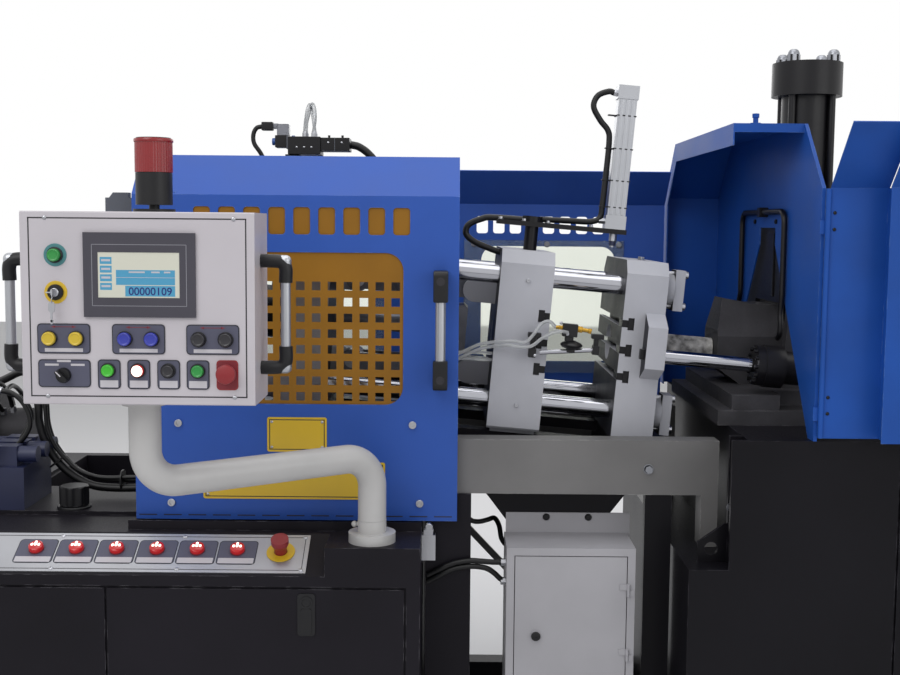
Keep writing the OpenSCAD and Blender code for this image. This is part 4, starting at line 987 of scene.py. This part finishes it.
@dataclass
class Console:
    """The sloped console's labels, lit buttons and emergency stop."""

    foot: Point = (0.0, -539.0, 726.0)
    rise: float = 65.0
    depth: float = 123.0
    plate_x: Span = (-1130.0, -316.0)
    plate_up: Span = (8.0, 131.0)
    plate_t: float = 2.5
    pitch: float = 91.0
    last_x: float = -476.0
    button_up: float = 77.0
    label_up: float = 71.6
    strip_up: float = 44.5
    count: int = 6
    stop: Span = (-378.0, 74.0)
    screw_x: tuple[float, ...] = (-603.0, -882.0, -1112.0)

    def slope(self) -> Matrix:
        """Gives the slope's frame, with Z out of it and Y up the slope."""
        angle = math.atan2(self.rise, self.depth)
        return Matrix.Translation(self.foot) @ Matrix.Rotation(angle, 4, "X")

    def build(self) -> None:
        """Makes all of the console's pieces."""
        t = self.plate_t
        edges, faces, strips = [Shape(self.slope()) for _ in range(3)]
        for x in [self.last_x - i * self.pitch for i in range(self.count)]:
            edges.prism(rounded(88, 76, 9), 0.6, placed((x, self.label_up, t)), 0.2)
            faces.prism(rounded(84, 72, 8), 0.9, placed((x, self.label_up, t)), 0.2)
            strips.prism(rounded(80, 17, 1.5), 0.3, placed((x, self.strip_up, t + 0.9)))
        edges.piece("console_label_edges", SLATE_EDGE, Body.FRAME)
        faces.piece("console_labels", SLATE, Body.FRAME)
        strips.piece("console_strips", WHITE_STRIP, Body.FRAME)
        self._line()
        self._buttons()
        Shape(self.slope()).lathe(
            [(15, 2.1), (32, 2.1), (32.3, 1), (31.8, 2.6), (15, 2.7), (15, 2.1)],
            placed((*self.stop, t)), 48).piece("stop_ring", YELLOW, Body.FRAME)

    def _line(self) -> None:
        """Draws the black line round the plate, with its screws."""
        t = self.plate_t
        x0, x1 = self.plate_x[0] + 9, self.plate_x[1] - 9
        y0, y1 = self.plate_up[0] + 8, self.plate_up[1] - 8
        Shape(self.slope()).border((x0, x1), (y0, y1), 1.6, 0.3, placed((0, 0, t))).piece(
            "console_border", INK, Body.FRAME)
        spots = [(x, y, t) for x in (x1 - 2, *self.screw_x) for y in (y0 + 1, y1 - 1)]
        Shape(self.slope()).heads(spots, UP, 5.2, Head.DOME, 2.8).piece(
            "console_screws", ZINC, Body.FRAME)

    def _buttons(self) -> None:
        """Makes the lit buttons that stand for the CAD ones."""
        bezels, caps, lights = [Shape(self.slope()) for _ in range(3)]
        for i in range(self.count):
            at = placed((self.last_x - i * self.pitch, self.button_up, self.plate_t))
            bezels.lathe([(0, 0.5), (17, 0.5), (17, 3), (16.4, 4), (0, 4)], at)
            caps.lathe([(0, 4), (16.2, 4), (16.4, 10), (15.8, 12.6), (13.4, 14.4), (9, 15.2),
                        (0, 15.5)], at)
            for x, high in ((-7.6, 7.5), (0, 15), (7.6, 7.5)):
                lights.prism(rounded(5.6, high, 2.2), 1.6,
                             at @ placed((x, (high - 7.5) / 2, 14.2)), 0.5)
        bezels.piece("console_bezels", RED_PLATE, Body.FRAME, "red_plastic",
                     "console_buttons")
        caps.piece("console_caps", RED_GLOW, Body.FRAME, "red_plastic")
        lights.piece("console_lights", HOT_GLOW, Body.FRAME)


@dataclass
class SlidingGuard(Facing):
    """The sliding door's fasteners, plates, bend slits and pull."""

    front: float = -347.0
    bolts: tuple[Span, ...] = ((-635, 1035), (-653, 846), (-86, 1035), (-68, 848))
    slit_pitch: float = 58.0
    plates: tuple[tuple[str, Point], ...] = (("small_plate", (-427, -287, 969, 1051)),
                                             ("wide_plate", (-578, -150, 856, 945)))
    plate_t: float = 1.2
    pull_x: float = -22.0
    pull_z: Span = (1140.0, 1382.0)
    pull_off: float = 45.0

    def build(self) -> None:
        """Makes all of the door's pieces."""
        f = self.front
        Shape().heads([(x, f, z) for x, z in self.bolts], FRONT, 9, Head.SOCKET, 6).piece(
            "door_bolts", ZINC, Body.DOOR)
        slits = Shape()
        for x in [-730.0 + i * self.slit_pitch for i in range(13)]:
            slits.block((x, f - 0.25, 815), (x + 42, f, 817.6))
        slits.piece("door_bend_slits", INK, Body.DOOR)
        for name, plate in self.plates:
            self._plate(name, *plate)
        self._pull()

    def _plate(self, name: str, x0: float, x1: float, z0: float, z1: float) -> None:
        """Makes a bare yellow plate with a black border and four screws.

        Args:
            name: The start of its pieces' names.
            x0: Its left edge.
            x1: Its right edge.
            z0: Its lower edge.
            z1: Its upper edge.
        """
        Shape().prism(rounded(x1 - x0, z1 - z0, 5), self.plate_t,
                      self.on((x0 + x1) / 2, (z0 + z1) / 2), 0.3).piece(
            name, YELLOW, Body.DOOR)
        Shape().border((x0 + 5, x1 - 5), (z0 + 5, z1 - 5), 2, 0.2,
                       self.on(0, 0, self.plate_t)).piece(name + "_line", INK, Body.DOOR)
        spots = [(x, self.front - self.plate_t, z) for x in (x0 + 11, x1 - 11)
                 for z in (z0 + 11, z1 - 11)]
        Shape().heads(spots, FRONT, 3.4, Head.DOME, 2.2).piece(
            name + "_screws", ZINC, Body.DOOR)

    def _pull(self) -> None:
        """Makes the black ends of the door's pull, with their sockets."""
        shape, sockets = Shape(), Shape()
        near, axis, (low, high) = 15 - self.pull_off, -self.pull_off, self.pull_z
        for wall, tip, s in ((low - 16, low + 52, 1), (high + 16, high - 56, -1)):
            outline = [(0, wall), (axis - 12, wall), (axis - 17, wall + s * 8),
                       (axis - 17, tip), (near, tip), (near, wall + s * 32),
                       (0, wall + s * 32)]
            shape.prism(outline, 34, placed((self.pull_x - 17, self.front, 0), RIGHT), 4)
            sockets.lathe([(9, 0), (10, 0.8), (7.5, 1), (7, 0.3), (0, 0.3)],
                          self.on(self.pull_x, wall + s * 24, self.pull_off + 17.1))
        shape.piece("pull_ends", BLACK_PLASTIC, Body.DOOR, "black_plastic")
        sockets.piece("pull_sockets", INK, Body.DOOR)


@dataclass
class Clamp:
    """The clamp unit's bolts, die clamps, hoses, spray head and air cylinder."""

    origin: Point = (413.5, 0.0, 1203.0)
    slope: float = 4.7
    half: float = 220.0
    slot_pitch: float = 65.0
    daylight: float = 176.0
    fixed_t: float = 102.0
    bar: float = 155.0
    keeper_bolt: float = 39.0
    traverse_y: float = 250.0
    flange_x: float = 322.0
    flange_r: float = 41.0
    arm_y: float = -60.0
    air_x: float = -23.0

    def frame(self) -> Matrix:
        """Gives the sloped frame of the clamp unit."""
        return placed(self.origin) @ Matrix.Rotation(math.radians(self.slope), 4, "Y")

    def hose(self, points: Iterable[Point], r: float, stiffness: str = "stiff") -> Hose:
        """Gives a hose through points of the clamp unit."""
        return Hose([self.frame() @ Vector(q) for q in points], r, stiffness)

    def build(self) -> None:
        """Makes all of the clamp's pieces."""
        self._screws()
        self._die_clamps()
        self._sleeves()
        self._air_cylinder()
        self._spray()
        self._spray_hoses()
        offs = ((-183, 296), (-307, 294), (-337, 288), (-369, 270), (-373, 246), (-349, 228),
                (-307, 214), (-277, 206))
        path = flat(self.arm_y, *[(self.air_x + dx, z) for dx, z in offs])
        self.hose(path, 8).build("carrier_hose", RUBBER, Body.CARRIAGE)

    def _screws(self) -> None:
        """Makes the screws of the platens and keeper plates."""
        fixed, moving = Shape(self.frame()), Shape(self.frame())
        t, bars = self.fixed_t, (-self.bar, self.bar)
        moving.heads([(-self.daylight - 62, -self.half, z) for z in (148, -158)], FRONT, 5,
                     Head.SOCKET, 5)
        spots = [(y, z + dz) for y in bars for z in bars
                 for dz in (-self.keeper_bolt, self.keeper_bolt)]
        for dy, r, h in ((0, 9, 12), (20, 5, 6)):
            fixed.heads([(t + 46, y + dy, z) for y, z in spots], RIGHT, r, Head.SOCKET, h)
        for y, z in spots:
            fixed.rod((t - 1, y, z), (t + 27, y, z), 7.5, 20)
        fixed.heads([(50, -90, self.half)], UP, 9, Head.HEX, 8)
        fixed.piece("keeper_bolts", ZINC, Body.FRAME)
        moving.piece("platen_screws", ZINC, Body.CARRIAGE)

    def _die_clamps(self) -> None:
        """Makes the black T-nuts that show at the ends of the die slots."""
        fixed, moving = Shape(self.frame()), Shape(self.frame())
        y, d = -self.half, -self.daylight
        for z in (-self.slot_pitch, 0, self.slot_pitch):
            for a, b, up, h in ((0.3, 15, 6, 8.5), (15, 28, 4, 14)):
                fixed.block((a, y + up, z - h), (b, y + 60, z + h), 0.6)
                moving.block((d - b, y + up, z - h), (d - a, y + 60, z + h), 0.6)
        fixed.piece("fixed_slot_nuts", BLACK, Body.FRAME)
        moving.piece("moving_slot_nuts", BLACK, Body.CARRIAGE)

    def _sleeves(self) -> None:
        """Makes the traverse rods' chrome, their flange screws and the black nut."""
        chrome, screws, nut = [Shape(self.frame()) for _ in range(3)]
        z = -4
        for y in (-self.traverse_y, self.traverse_y):
            chrome.rod((self.fixed_t + 0.5, y, z), (self.flange_x - 8, y, z), 17.3, 40)
            screws.heads([(self.flange_x, y + a, z + b)
                          for a, b in ring_points(self.flange_r, 6, 30)],
                         LEFT, 4.6, Head.SOCKET, 7)
            nut.block((44, y * 1.02 - 12, z - 10), (55, y * 1.02 + 12, z + 14), 1.5)
        chrome.piece("traverse_rod_chrome", CHROME, Body.FRAME)
        screws.piece("flange_screws", BLACK, Body.FRAME)
        nut.piece("traverse_nuts", BLACK, Body.FRAME)

    def _air_cylinder(self) -> None:
        """Makes the air cylinder's ribs, bands, fittings, hose and carrier bolts."""
        x, y = self.air_x, self.arm_y
        ribs, bands, fit, tip, bolts = [Shape(self.frame()) for _ in range(5)]
        for dx in (-14, 0, 14):
            ribs.block((x + dx - 4, y - 25.5, 328), (x + dx + 4, y - 22.5, 616), 1)
        ribs.piece("air_cylinder_ribs", ALLOY, Body.CARRIAGE, "alloy")
        for z in (345, 412, 492, 575):
            bands.block((x - 25, y - 25.4, z), (x + 25, y + 24.5, z + 3), 0.8)
            bands.block((x - 44, y - 8, z), (x - 22, y + 8, z + 3), 0.8)
        bands.piece("hose_ties", BLACK_PLASTIC, Body.CARRIAGE)
        offs = ((34, 633), (48, 635), (74, 622), (82, 594), (62, 562), (40, 538), (34, 508),
                (34, 420), (35, 350), (38, 318), (60, 306), (110, 303), (190, 300))
        self.hose(flat(y, *[(x - dx, z) for dx, z in offs]), 7.5).build(
            "air_hose", RUBBER, Body.CARRIAGE)
        fit.rod((x - 24, y, 632), (x - 34, y, 633.5), 9, 6)
        fit.rod((x - 24, y, 310), (x - 40, y, 310), 8, 6)
        fit.piece("air_fittings", ZINC, Body.CARRIAGE)
        tip.rod((x, y, 268), (x, y, 250), 8, 20, 1)
        tip.piece("air_rod_tip", NAVY_PART, Body.CARRIAGE)
        bolts.heads([(x + dx, y - 14, 292) for dx in (-290, -230, -170, -60)], UP, 5.5,
                    Head.HEX, 5)
        bolts.piece("carrier_bolts", ZINC, Body.CARRIAGE)

    def _spray(self) -> None:
        """Makes the spray head with its rod, clamps, knob, valve and brass nozzle."""
        y = -self.half - 26
        rod, clamps, knob, brass, studs = [Shape(self.frame()) for _ in range(5)]
        rod.rod((-196, y, -21), (-56, y, -2), 5.4).piece("spray_rod", CHROME, Body.CARRIAGE)
        for x, z0, z1, w in ((-214, -34, 26, 9), (-62, -14, 36, 8)):
            clamps.block((x - w, y - 14, z0), (x + w, y + 14, z0 + 22), 2)
            clamps.block((x - w + 2, y - 10, z0 + 20), (x + w - 3, y + 10, z1), 1.5)
            clamps.block((x - w - 5, y - 12, z1 - 12), (x + w + 9, y + 12, z1), 2)
        clamps.block((-146, y - 13, 24), (-110, y + 13, 55), 2)
        clamps.block((-138, y - 9, 12), (-118, y + 9, 24), 1.5)
        clamps.block((-132, y - 8, -14), (-112, y + 8, -6), 1)
        clamps.piece("spray_clamps", BLACK_PLASTIC, Body.CARRIAGE, "", "spray_arm")
        knob.lathe([(0, -12), (9, -11), (22, -6), (27, -1), (27, 1), (22, 6), (9, 11),
                    (0, 12)], placed((-121, y, 4)), 48)
        knob.piece("spray_knob", BLACK_PLASTIC, Body.CARRIAGE)
        for x0, z0, x1, z1, r, steps, edge in (
                (-110, 44, -98, 43, 8.5, 6, 0.6), (-98, 43, -84, 42, 5, 20, 0),
                (-84, 42, -76, 41, 7, 6, 0.6), (-146, 44, -156, 44, 5.5, 6, 0.5),
                (-156, 44, -163, 44, 4.2, 16, 0)):
            brass.rod((x0, y, z0), (x1, y, z1), r, steps, edge)
        brass.piece("spray_brass", BRASS, Body.CARRIAGE)
        studs.heads([(x, y - 13, z) for x, z in ((-152, 56), (-134, 30), (-207, -28))],
                    FRONT, 4.2, Head.DOME, 3)
        studs.piece("spray_studs", ZINC, Body.CARRIAGE)

    def _spray_hoses(self) -> None:
        """Makes the two clear hoses, which run side by side behind the door."""
        y = -self.half - 26
        end = [(-418, 20, -55), (-436, 25, -57), (-444, 33, -56), (-437, 41, -52),
               (-418, 44, -47), (-362, 44, -40), (-307, 44, -38)]
        upper = [(-163, 0, 44), (-180, 0, 56), (-198, 0, 48), (-216, -16, 22), (-234, -18, 2),
                 (-262, -14, 2), (-292, -4, -3), (-316, 12, -9), (-345, 18, -18),
                 (-390, 20, -44)]
        lower = [(-133, -13, 34), (-150, -18, 36), (-172, -18, 30), (-196, -18, 14),
                 (-216, -20, -4), (-238, -20, -10), (-270, -14, -9), (-292, -4, -13),
                 (-316, 12, -19), (-345, 18, -30), (-390, 20, -56)]
        for i, start in enumerate((upper, lower)):
            points = [*start, *[(a, b, c - 16 * i) for a, b, c in end]]
            self.hose([(a, y + b, c) for a, b, c in points], 4.2, "medium").build(
                f"spray_hose_{i}", SOFT_HOSE, Body.CARRIAGE)


@dataclass
class ValveGroup:
    """The small valve over the door, with its coil, cable and hoses."""

    y: float = -120.0
    top: float = 1712.0
    port_x: Span = (-363.0, -341.0)
    cover_x: Span = (-303.0, -270.0)

    def build(self) -> None:
        """Makes all of the group's pieces."""
        y, top = self.y, self.top
        body, post, seams, knob, plug, ports, screws = [Shape() for _ in range(7)]
        body.block((-402, y - 38, 1672.5), (-322, y + 38, top + 4), 1.5)
        body.block((-322, y - 34, 1682), (-251, y + 34, top + 2), 1.5)
        body.block((-436, y - 20, 1690), (-406, y + 20, 1720), 2)
        body.block((-471, y - 11, 1732), (-442, y + 11, 1753), 3)
        for x in self.cover_x:
            body.rod((x, y - 10, top), (x, y - 10, top + 9), 3, 16)
        body.piece("valve_body", BLACK, Body.FRAME, "", "valve_block")
        post.block((-412, y - 10, 1486), (-376, y + 10, 1674), 1)
        post.piece("valve_post", BLACK, Body.FRAME)
        seams.block((-288, y - 34.4, 1682), (-286.6, y - 33.8, top + 2))
        seams.block((-406, y - 30, 1686), (-402.2, y + 30, top + 6))
        seams.piece("valve_seams", SLATE_PAINT, Body.FRAME)
        knob.rod((-445, y, 1705), (-436, y, 1705), 9, 20, 1)
        knob.rod((-392, y - 6, top + 4), (-392, y - 6, top + 8), 4, 16, 0.5)
        knob.piece("valve_override", KNOB_BLUE, Body.FRAME)
        plug.block((-432, y - 15, 1720), (-402, y + 15, 1748), 2.5)
        plug.rod((-444, y, 1743), (-430, y, 1743), 7, 20)
        connector = plug.piece("coil_connector", GREY_CLEAR, Body.FRAME)
        for x in self.port_x:
            for dy in (-10, 14):
                ports.rod((x, y + dy, top + 3), (x, y + dy, top + 15), 6.4, 6, 0.5)
                ports.rod((x, y + dy, top + 15), (x, y + dy, top + 19), 5.2, 20)
        ports.piece("valve_ports", ZINC, Body.FRAME)
        screws.heads([(x, y - 38, 1690) for x in (-380, -362, -344)], FRONT, 2.4,
                     Head.DOME, 1.5)
        screws.heads([(x, y - 34, 1702) for x in self.cover_x], FRONT, 2.6, Head.DOME, 1.5)
        screws.piece("valve_screws", ZINC, Body.FRAME)
        self._hoses(connector)

    def _hoses(self, connector: bpy.types.Object) -> None:
        """Makes the two loops, the coil's cable and the pipe.

        Args:
            connector: The plug on the cable's far end.
        """
        loops = (
            [(-363, -10, 19), (-361, -10, 45), (-356, -8, 74), (-351, -2, 84), (-348, 6, 74),
             (-344, 13, 45), (-341, 14, 19)],
            [(-341, -10, 19), (-338, -10, 50), (-340, -7, 76), (-346, 2, 86), (-353, 11, 72),
             (-361, 16, 45), (-363, 14, 19)])
        for i, points in enumerate(loops):
            path = [(x, self.y + y, self.top + z) for x, y, z in points]
            Hose(path, 4.3, "medium").build(f"valve_loop_{i}", SOFT_HOSE, Body.FRAME)
        cable = ((-418, 40, 1492), (-422, 38, 1520), (-440, 26, 1570), (-458, 6, 1640),
                 (-474, 0, 1676), (-490, 0, 1700), (-492, 0, 1722), (-484, 0, 1738),
                 (-471, 0, 1742))
        Hose([(x, self.y + y, z) for x, y, z in cable], 5.6, "medium", "connector").build(
            "coil_cable", RUBBER, Body.FRAME, [connector])
        pipe = ((-251, 0, 1699), (-230, 0, 1694), (-206, 0, 1677), (-188, 0, 1652),
                (-184, 2, 1610), (-210, 6, 1562), (-262, 12, 1524), (-304, 14, 1506),
                (-322, 14, 1486))
        Hose([(x, self.y + y, z) for x, y, z in pipe], 9.6).build(
            "valve_pipe", RUBBER, Body.FRAME)


@dataclass
class FurnaceSide:
    """The fasteners and fittings of the hood, injection unit and furnace base."""

    wall_x: float = 805.0
    rod_x: float = 795.0
    web_x: float = 818.0
    shot_x: float = 911.0
    cylinder_top: float = 1922.0
    nut_off: float = 50.5
    slit_pitch: float = 36.0

    def build(self) -> None:
        """Makes all of the furnace side's pieces."""
        self._hood_fittings()
        self._rod_tails()
        self._web()
        self._nuts()
        self._slits()
        beam, gusset = -310, -450
        shape = Shape().heads([(476, beam, 927), (-400, beam, 927)], FRONT, 9.6, Head.HEX, 8)
        shape.heads([(640, gusset, 870)], FRONT, 7, Head.HEX, 6)
        shape.heads([(652, gusset, 870)], FRONT, 5, Head.HEX, 6)
        shape.piece("beam_bolts", STEEL, Body.FRAME)

    def _hood_fittings(self) -> None:
        """Makes the hood's screws, roof stud and hinge, and the rear window's bolts."""
        Shape().heads([(self.wall_x, 54, 1519), (self.wall_x, -150, 1518)], LEFT, 6,
                      Head.SOCKET, 5).piece("hood_screws", BLACK, Body.FRAME)
        Shape().lathe([(0, 0), (12, 0), (12, 3), (6, 3), (6, 14), (8, 15), (8, 24), (0, 25)],
                      placed((700, -330, 1740))).piece("roof_stud", HOOD_BLUE, Body.FRAME)
        hinge = [(832, -515, z) for z in (1096, 1132, 1500, 1536)]
        Shape().heads(hinge, FRONT, 4, Head.DOME, 3).piece(
            "guard_hinge_screws", BLACK, Body.GUARD)
        Shape().rod((817, -517, 1042), (817, -517, 1588), 6, 20, 0.6).piece(
            "guard_hinge_barrel", HOOD_BLUE, Body.FRAME)
        window = [(x, 473, 1448) for x in (-370, -150, 69, 288, 503)]
        Shape().heads(window, FRONT, 7, Head.HEX, 5).piece("window_bolts", STEEL, Body.FRAME)

    def _rod_tails(self) -> None:
        """Makes the lower ends of the hood's bent rod."""
        shape = Shape()
        for path in (((158, 1344), (160, 1322), (174, 1300), (192, 1284)),
                     ((-255, 1344), (-251, 1322), (-247, 1298), (-252, 1272), (-248, 1250),
                      (-228, 1236))):
            shape.sweep([(self.rod_x, y, z) for y, z in path], 6.8, 16)
        shape.piece("hood_rod_tails", BLACK, Body.FRAME)

    def _web(self) -> None:
        """Makes the black web of the injection frame that shows in the wall's cut; it is drawn
        wide enough to close the cut, so its black is partly painted shade.
        """
        # Partly painted shade: the outline and the block reach across the cut and stand for the
        # shade seen through it
        outline = [(-150, 1513), (-150, 1458), (-258, 1317), (84, 1317), (84, 1288),
                   (196, 1288), (190, 1317), (75, 1458), (75, 1513)]
        web = Shape().prism(outline, 12, placed((self.web_x, 0, 0), RIGHT), 1)
        web.block((self.web_x - 5, -96, 1330), (self.web_x, -34, 1490), 1)
        web.piece("injection_web", BLACK, Body.FRAME)

    def _nuts(self) -> None:
        """Makes the chromed acorn nuts over the injection cylinder's tie rods."""
        shape = Shape()
        offs = (-self.nut_off, self.nut_off)
        for at in [placed((self.shot_x + x, y, self.cylinder_top)) for x in offs for y in offs]:
            shape.prism(ring_points(17.4, 6, 11), 16, at, 0.8)
            shape.lathe([(15, 16), (14.4, 21), (12, 26), (8, 29), (0, 30)], at, 28)
        shape.piece("acorn_nuts", STEEL, Body.FRAME)

    def _slits(self) -> None:
        """Makes the slits along the bend of the outer guard leaf."""
        shape = Shape()
        for z in [1050.0 + i * self.slit_pitch for i in range(15)]:
            shape.block((1058, -567.6, z), (1060, -567.3, z + 26))
        shape.piece("guard_bend_slits", INK, Body.GUARD)


@dataclass
class HeaterCabinet(Facing):
    """The small cabinet's lock, seal, bolts and the braces behind it."""

    front: float = -389.0
    door_x: Span = (156.5, 418.5)
    door_z: Span = (373.5, 734.5)
    brace_y: float = 160.0

    def build(self) -> None:
        """Makes the cabinet's pieces."""
        Shape().lathe([(0, 0), (11, 0), (11, 2), (9.5, 3), (4, 3.2), (3.6, 2), (0, 2)],
                      self.on(207, 545, 6)).piece("cabinet_lock", BLACK_PLASTIC,
                                                  Body.HEATER_DOOR)
        Shape().heads([(240, -239, 792), (343, -239, 792)], FRONT, 7, Head.HEX, 5).piece(
            "cabinet_bolts", BLACK, Body.FRAME)
        Shape().border(self.door_x, self.door_z, 1.2, 6, self.on(0, 0, -12)).piece(
            "cabinet_seal", RUBBER, Body.HEATER_DOOR)
        at = placed((0, self.brace_y, 0), FRONT)
        Shape().prism([(52, 680), (52, 654), (284, 410), (284, 436)], 10, at, 0.8).piece(
            "brace_long", BEAM_GREY, Body.FRAME)
        Shape().prism([(92, 778), (126, 778), (246, 620), (212, 620)], 12, at, 0.8).piece(
            "brace_short", DARK, Body.FRAME)


@dataclass
class BaseDeck(Facing):
    """The clamp base's latch, filler cap, hoses and switch."""

    front: float = -539.0
    cap: Point = (-925.0, -214.0, 800.0)
    cap_r: float = 37.0
    lobe: float = 2.6
    latch_x: float = -313.0

    def build(self) -> None:
        """Makes all of the deck's pieces."""
        self._filler()
        self._latch()
        self._clamp_hoses()
        self._low_hoses()
        Shape().rod((-45, -366, 795), (-45, -350, 795), 9, 20, 1).piece(
            "switch_roller", ZINC, Body.FRAME)

    def _filler(self) -> None:
        """Makes the lobed filler cap that stands for the CAD one."""
        at = placed(self.cap)
        outline = []
        for a in [math.tau * i / 96 for i in range(96)]:
            r = self.cap_r - self.lobe + self.lobe * math.cos(8 * a)
            outline.append((r * math.cos(a), r * math.sin(a)))
        shape = Shape().lathe([(0, 0), (41, 0), (41, 4), (39, 6), (0, 6)], at)
        shape.prism(outline, 46, at @ placed((0, 0, 8)), 2.2)
        shape.lathe([(33, 54), (32, 55), (20, 54), (0, 53.6)], at)
        shape.piece("filler_knob", BLACK_PLASTIC, Body.FRAME, "black_plastic", "filler_cap")

    def _latch(self) -> None:
        """Makes the latch of the cabinet panel."""
        plate = Shape().prism(rounded(39, 96, 7), 3, self.on(self.latch_x, 640), 1)
        plate.prism(rounded(24, 58, 5), 5, self.on(self.latch_x, 625), 1)
        plate.lathe([(14, 3), (14, 5), (10, 5), (9, 3.5), (0, 3.5)],
                    self.on(self.latch_x, 668))
        plate.piece("panel_latch", BLACK_PLASTIC, Body.FRAME)

    def _clamp_hoses(self) -> None:
        """Makes the bundle of hoses to the clamp, with its glands and ties."""
        bundle = (
            (10.5, (-1062, -82, 1084), -100,
             ((-1048, 1036), (-1047, 996), (-1036, 954), (-1014, 909), (-983, 872),
              (-944, 844), (-903, 828), (-842, 824), (-770, 826), (-716, 826))),
            (5.5, (-1046, -88, 1092), -104,
             ((-1030, 1036), (-1026, 983), (-1010, 938), (-982, 901), (-952, 873),
              (-915, 857), (-876, 851), (-805, 853), (-716, 853))),
            (5.5, (-1044, -62, 1080), -78,
             ((-1034, 1036), (-1030, 986), (-1016, 940), (-988, 898), (-954, 866),
              (-912, 846), (-868, 840), (-800, 841), (-716, 841))))
        for i, (r, bend, y, run) in enumerate(bundle):
            start = ((-1286, 100 + 30 * i, 1050 - 12 * i), (-1200, 60 + 30 * i, 1078),
                     (-1112, 30 * i - 20, 1112))
            points = flat(y, *run)
            if i == 2:
                points[0] = (-1034, -76, 1036)
            Hose([*start, bend, *points], r).build(f"clamp_hose_{i}", RUBBER, Body.FRAME)
        Shape().block((-716, -120, 791), (-680, -62, 868), 4).block(
            (-1290, 90, 1026), (-1284, 172, 1062), 2).piece("hose_glands", CAST, Body.FRAME)
        ties = Shape()
        for x, z, way in ((-999, 889, (0.62, 0, -0.78)), (-840, 838, RIGHT)):
            at = placed((x + 6 * way[2], -93, z + 6 * way[0]), way)
            ties.prism([(q[0] * 1.02, q[1]) for q in rounded(46, 50, 18)], 4, at, 0.6)
        ties.piece("bundle_ties", BLACK_PLASTIC, Body.FRAME)

    def _low_hoses(self) -> None:
        """Makes the pump's loops, the heater's hoses and their fittings."""
        loops = (
            [(-1184, 96, 994), (-1184, 60, 1046), (-1172, -40, 1088), (-1146, -140, 1092),
             (-1115, -181, 1086), *flat(-183, (-1085, 1079), (-1062, 1061), (-1047, 1035),
                                        (-1041, 1004), (-1050, 978), (-1070, 952),
                                        (-1090, 930), (-1098, 908))],
            [(-1156, 118, 996), (-1154, 80, 1040), (-1146, 0, 1072), (-1134, -80, 1074),
             (-1117, -115, 1068), *flat(-117, (-1091, 1060), (-1070, 1040), (-1061, 1014),
                                        (-1066, 990), (-1082, 962), (-1096, 936),
                                        (-1102, 908))],
            [(-1206, 84, 990), (-1206, 20, 1030), (-1190, -100, 1046), (-1160, -200, 1040),
             (-1130, -254, 1034), (-1106, -262, 1022), (-1094, -264, 1000),
             *flat(-266, (-1094, 974), (-1106, 946), (-1118, 918), (-1122, 896))])
        for i, points in enumerate(loops):
            Hose(points, 6.3).build(f"pump_hose_{i}", RUBBER, Body.FRAME)
        low = (
            (6.6, [(-50, -322, 668), *flat(-325, (-19, 684), (2, 694), (24, 701), (53, 705),
                                           (76, 704), (106, 702), (138, 702))]),
            (6.6, [(-50, -322, 652), *flat(-325, (-19, 669), (2, 680), (24, 687), (53, 691),
                                           (77, 690), (96, 685), (112, 674), (126, 661),
                                           (138, 656))]),
            (6.2, [(49, -150, 766), (62, -150, 758), (80, -150, 757), (100, -150, 762),
                   (116, -158, 768), (126, -200, 760), (130, -240, 740), (138, -262, 730)]))
        for i, (r, points) in enumerate(low):
            Hose(points, r, "medium").build(f"heater_hose_{i}", RUBBER, Body.FRAME)
        fit = Shape().rod((-1122, -250, 884), (-1122, -266, 884), 7.5, 6)
        fit.rod((-1122, -266, 880), (-1122, -266, 900), 8.4, 6, 0.6)
        fit.rod((-1130, -183, 1089), (-1108, -183, 1085), 8.2, 20, 0.6)
        for x, y in ((-1098, -183), (-1102, -117)):
            fit.rod((x, y, 905), (x, y, 919), 8.6, 6, 0.6)
        for x, y, z in [points[0] for points in loops]:
            fit.rod((x, y, z - 8), (x, y - 3, z + 10), 9, 6, 0.6)
        for x, y, z in [points[-1] for _, points in low[:2]]:
            fit.rod((x - 12, y, z), (x, y, z), 9, 6, 0.6)
        fit.piece("hose_fittings", ZINC, Body.FRAME)


def main() -> None:
    """Builds the camera, the studio and the dressed machine."""
    logging.basicConfig(level=logging.INFO, format="%(message)s")
    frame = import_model()
    PhotoCamera().build()
    Studio().build()
    CastParts().dress(frame["nodes"])
    for part in (ControlPanel(), Console(), SlidingGuard(), Clamp(), ValveGroup(),
                 FurnaceSide(), HeaterCabinet(), BaseDeck()):
        LOG.info("building %s", type(part).__name__)
        part.build()


if __name__ == "__main__":
    main()
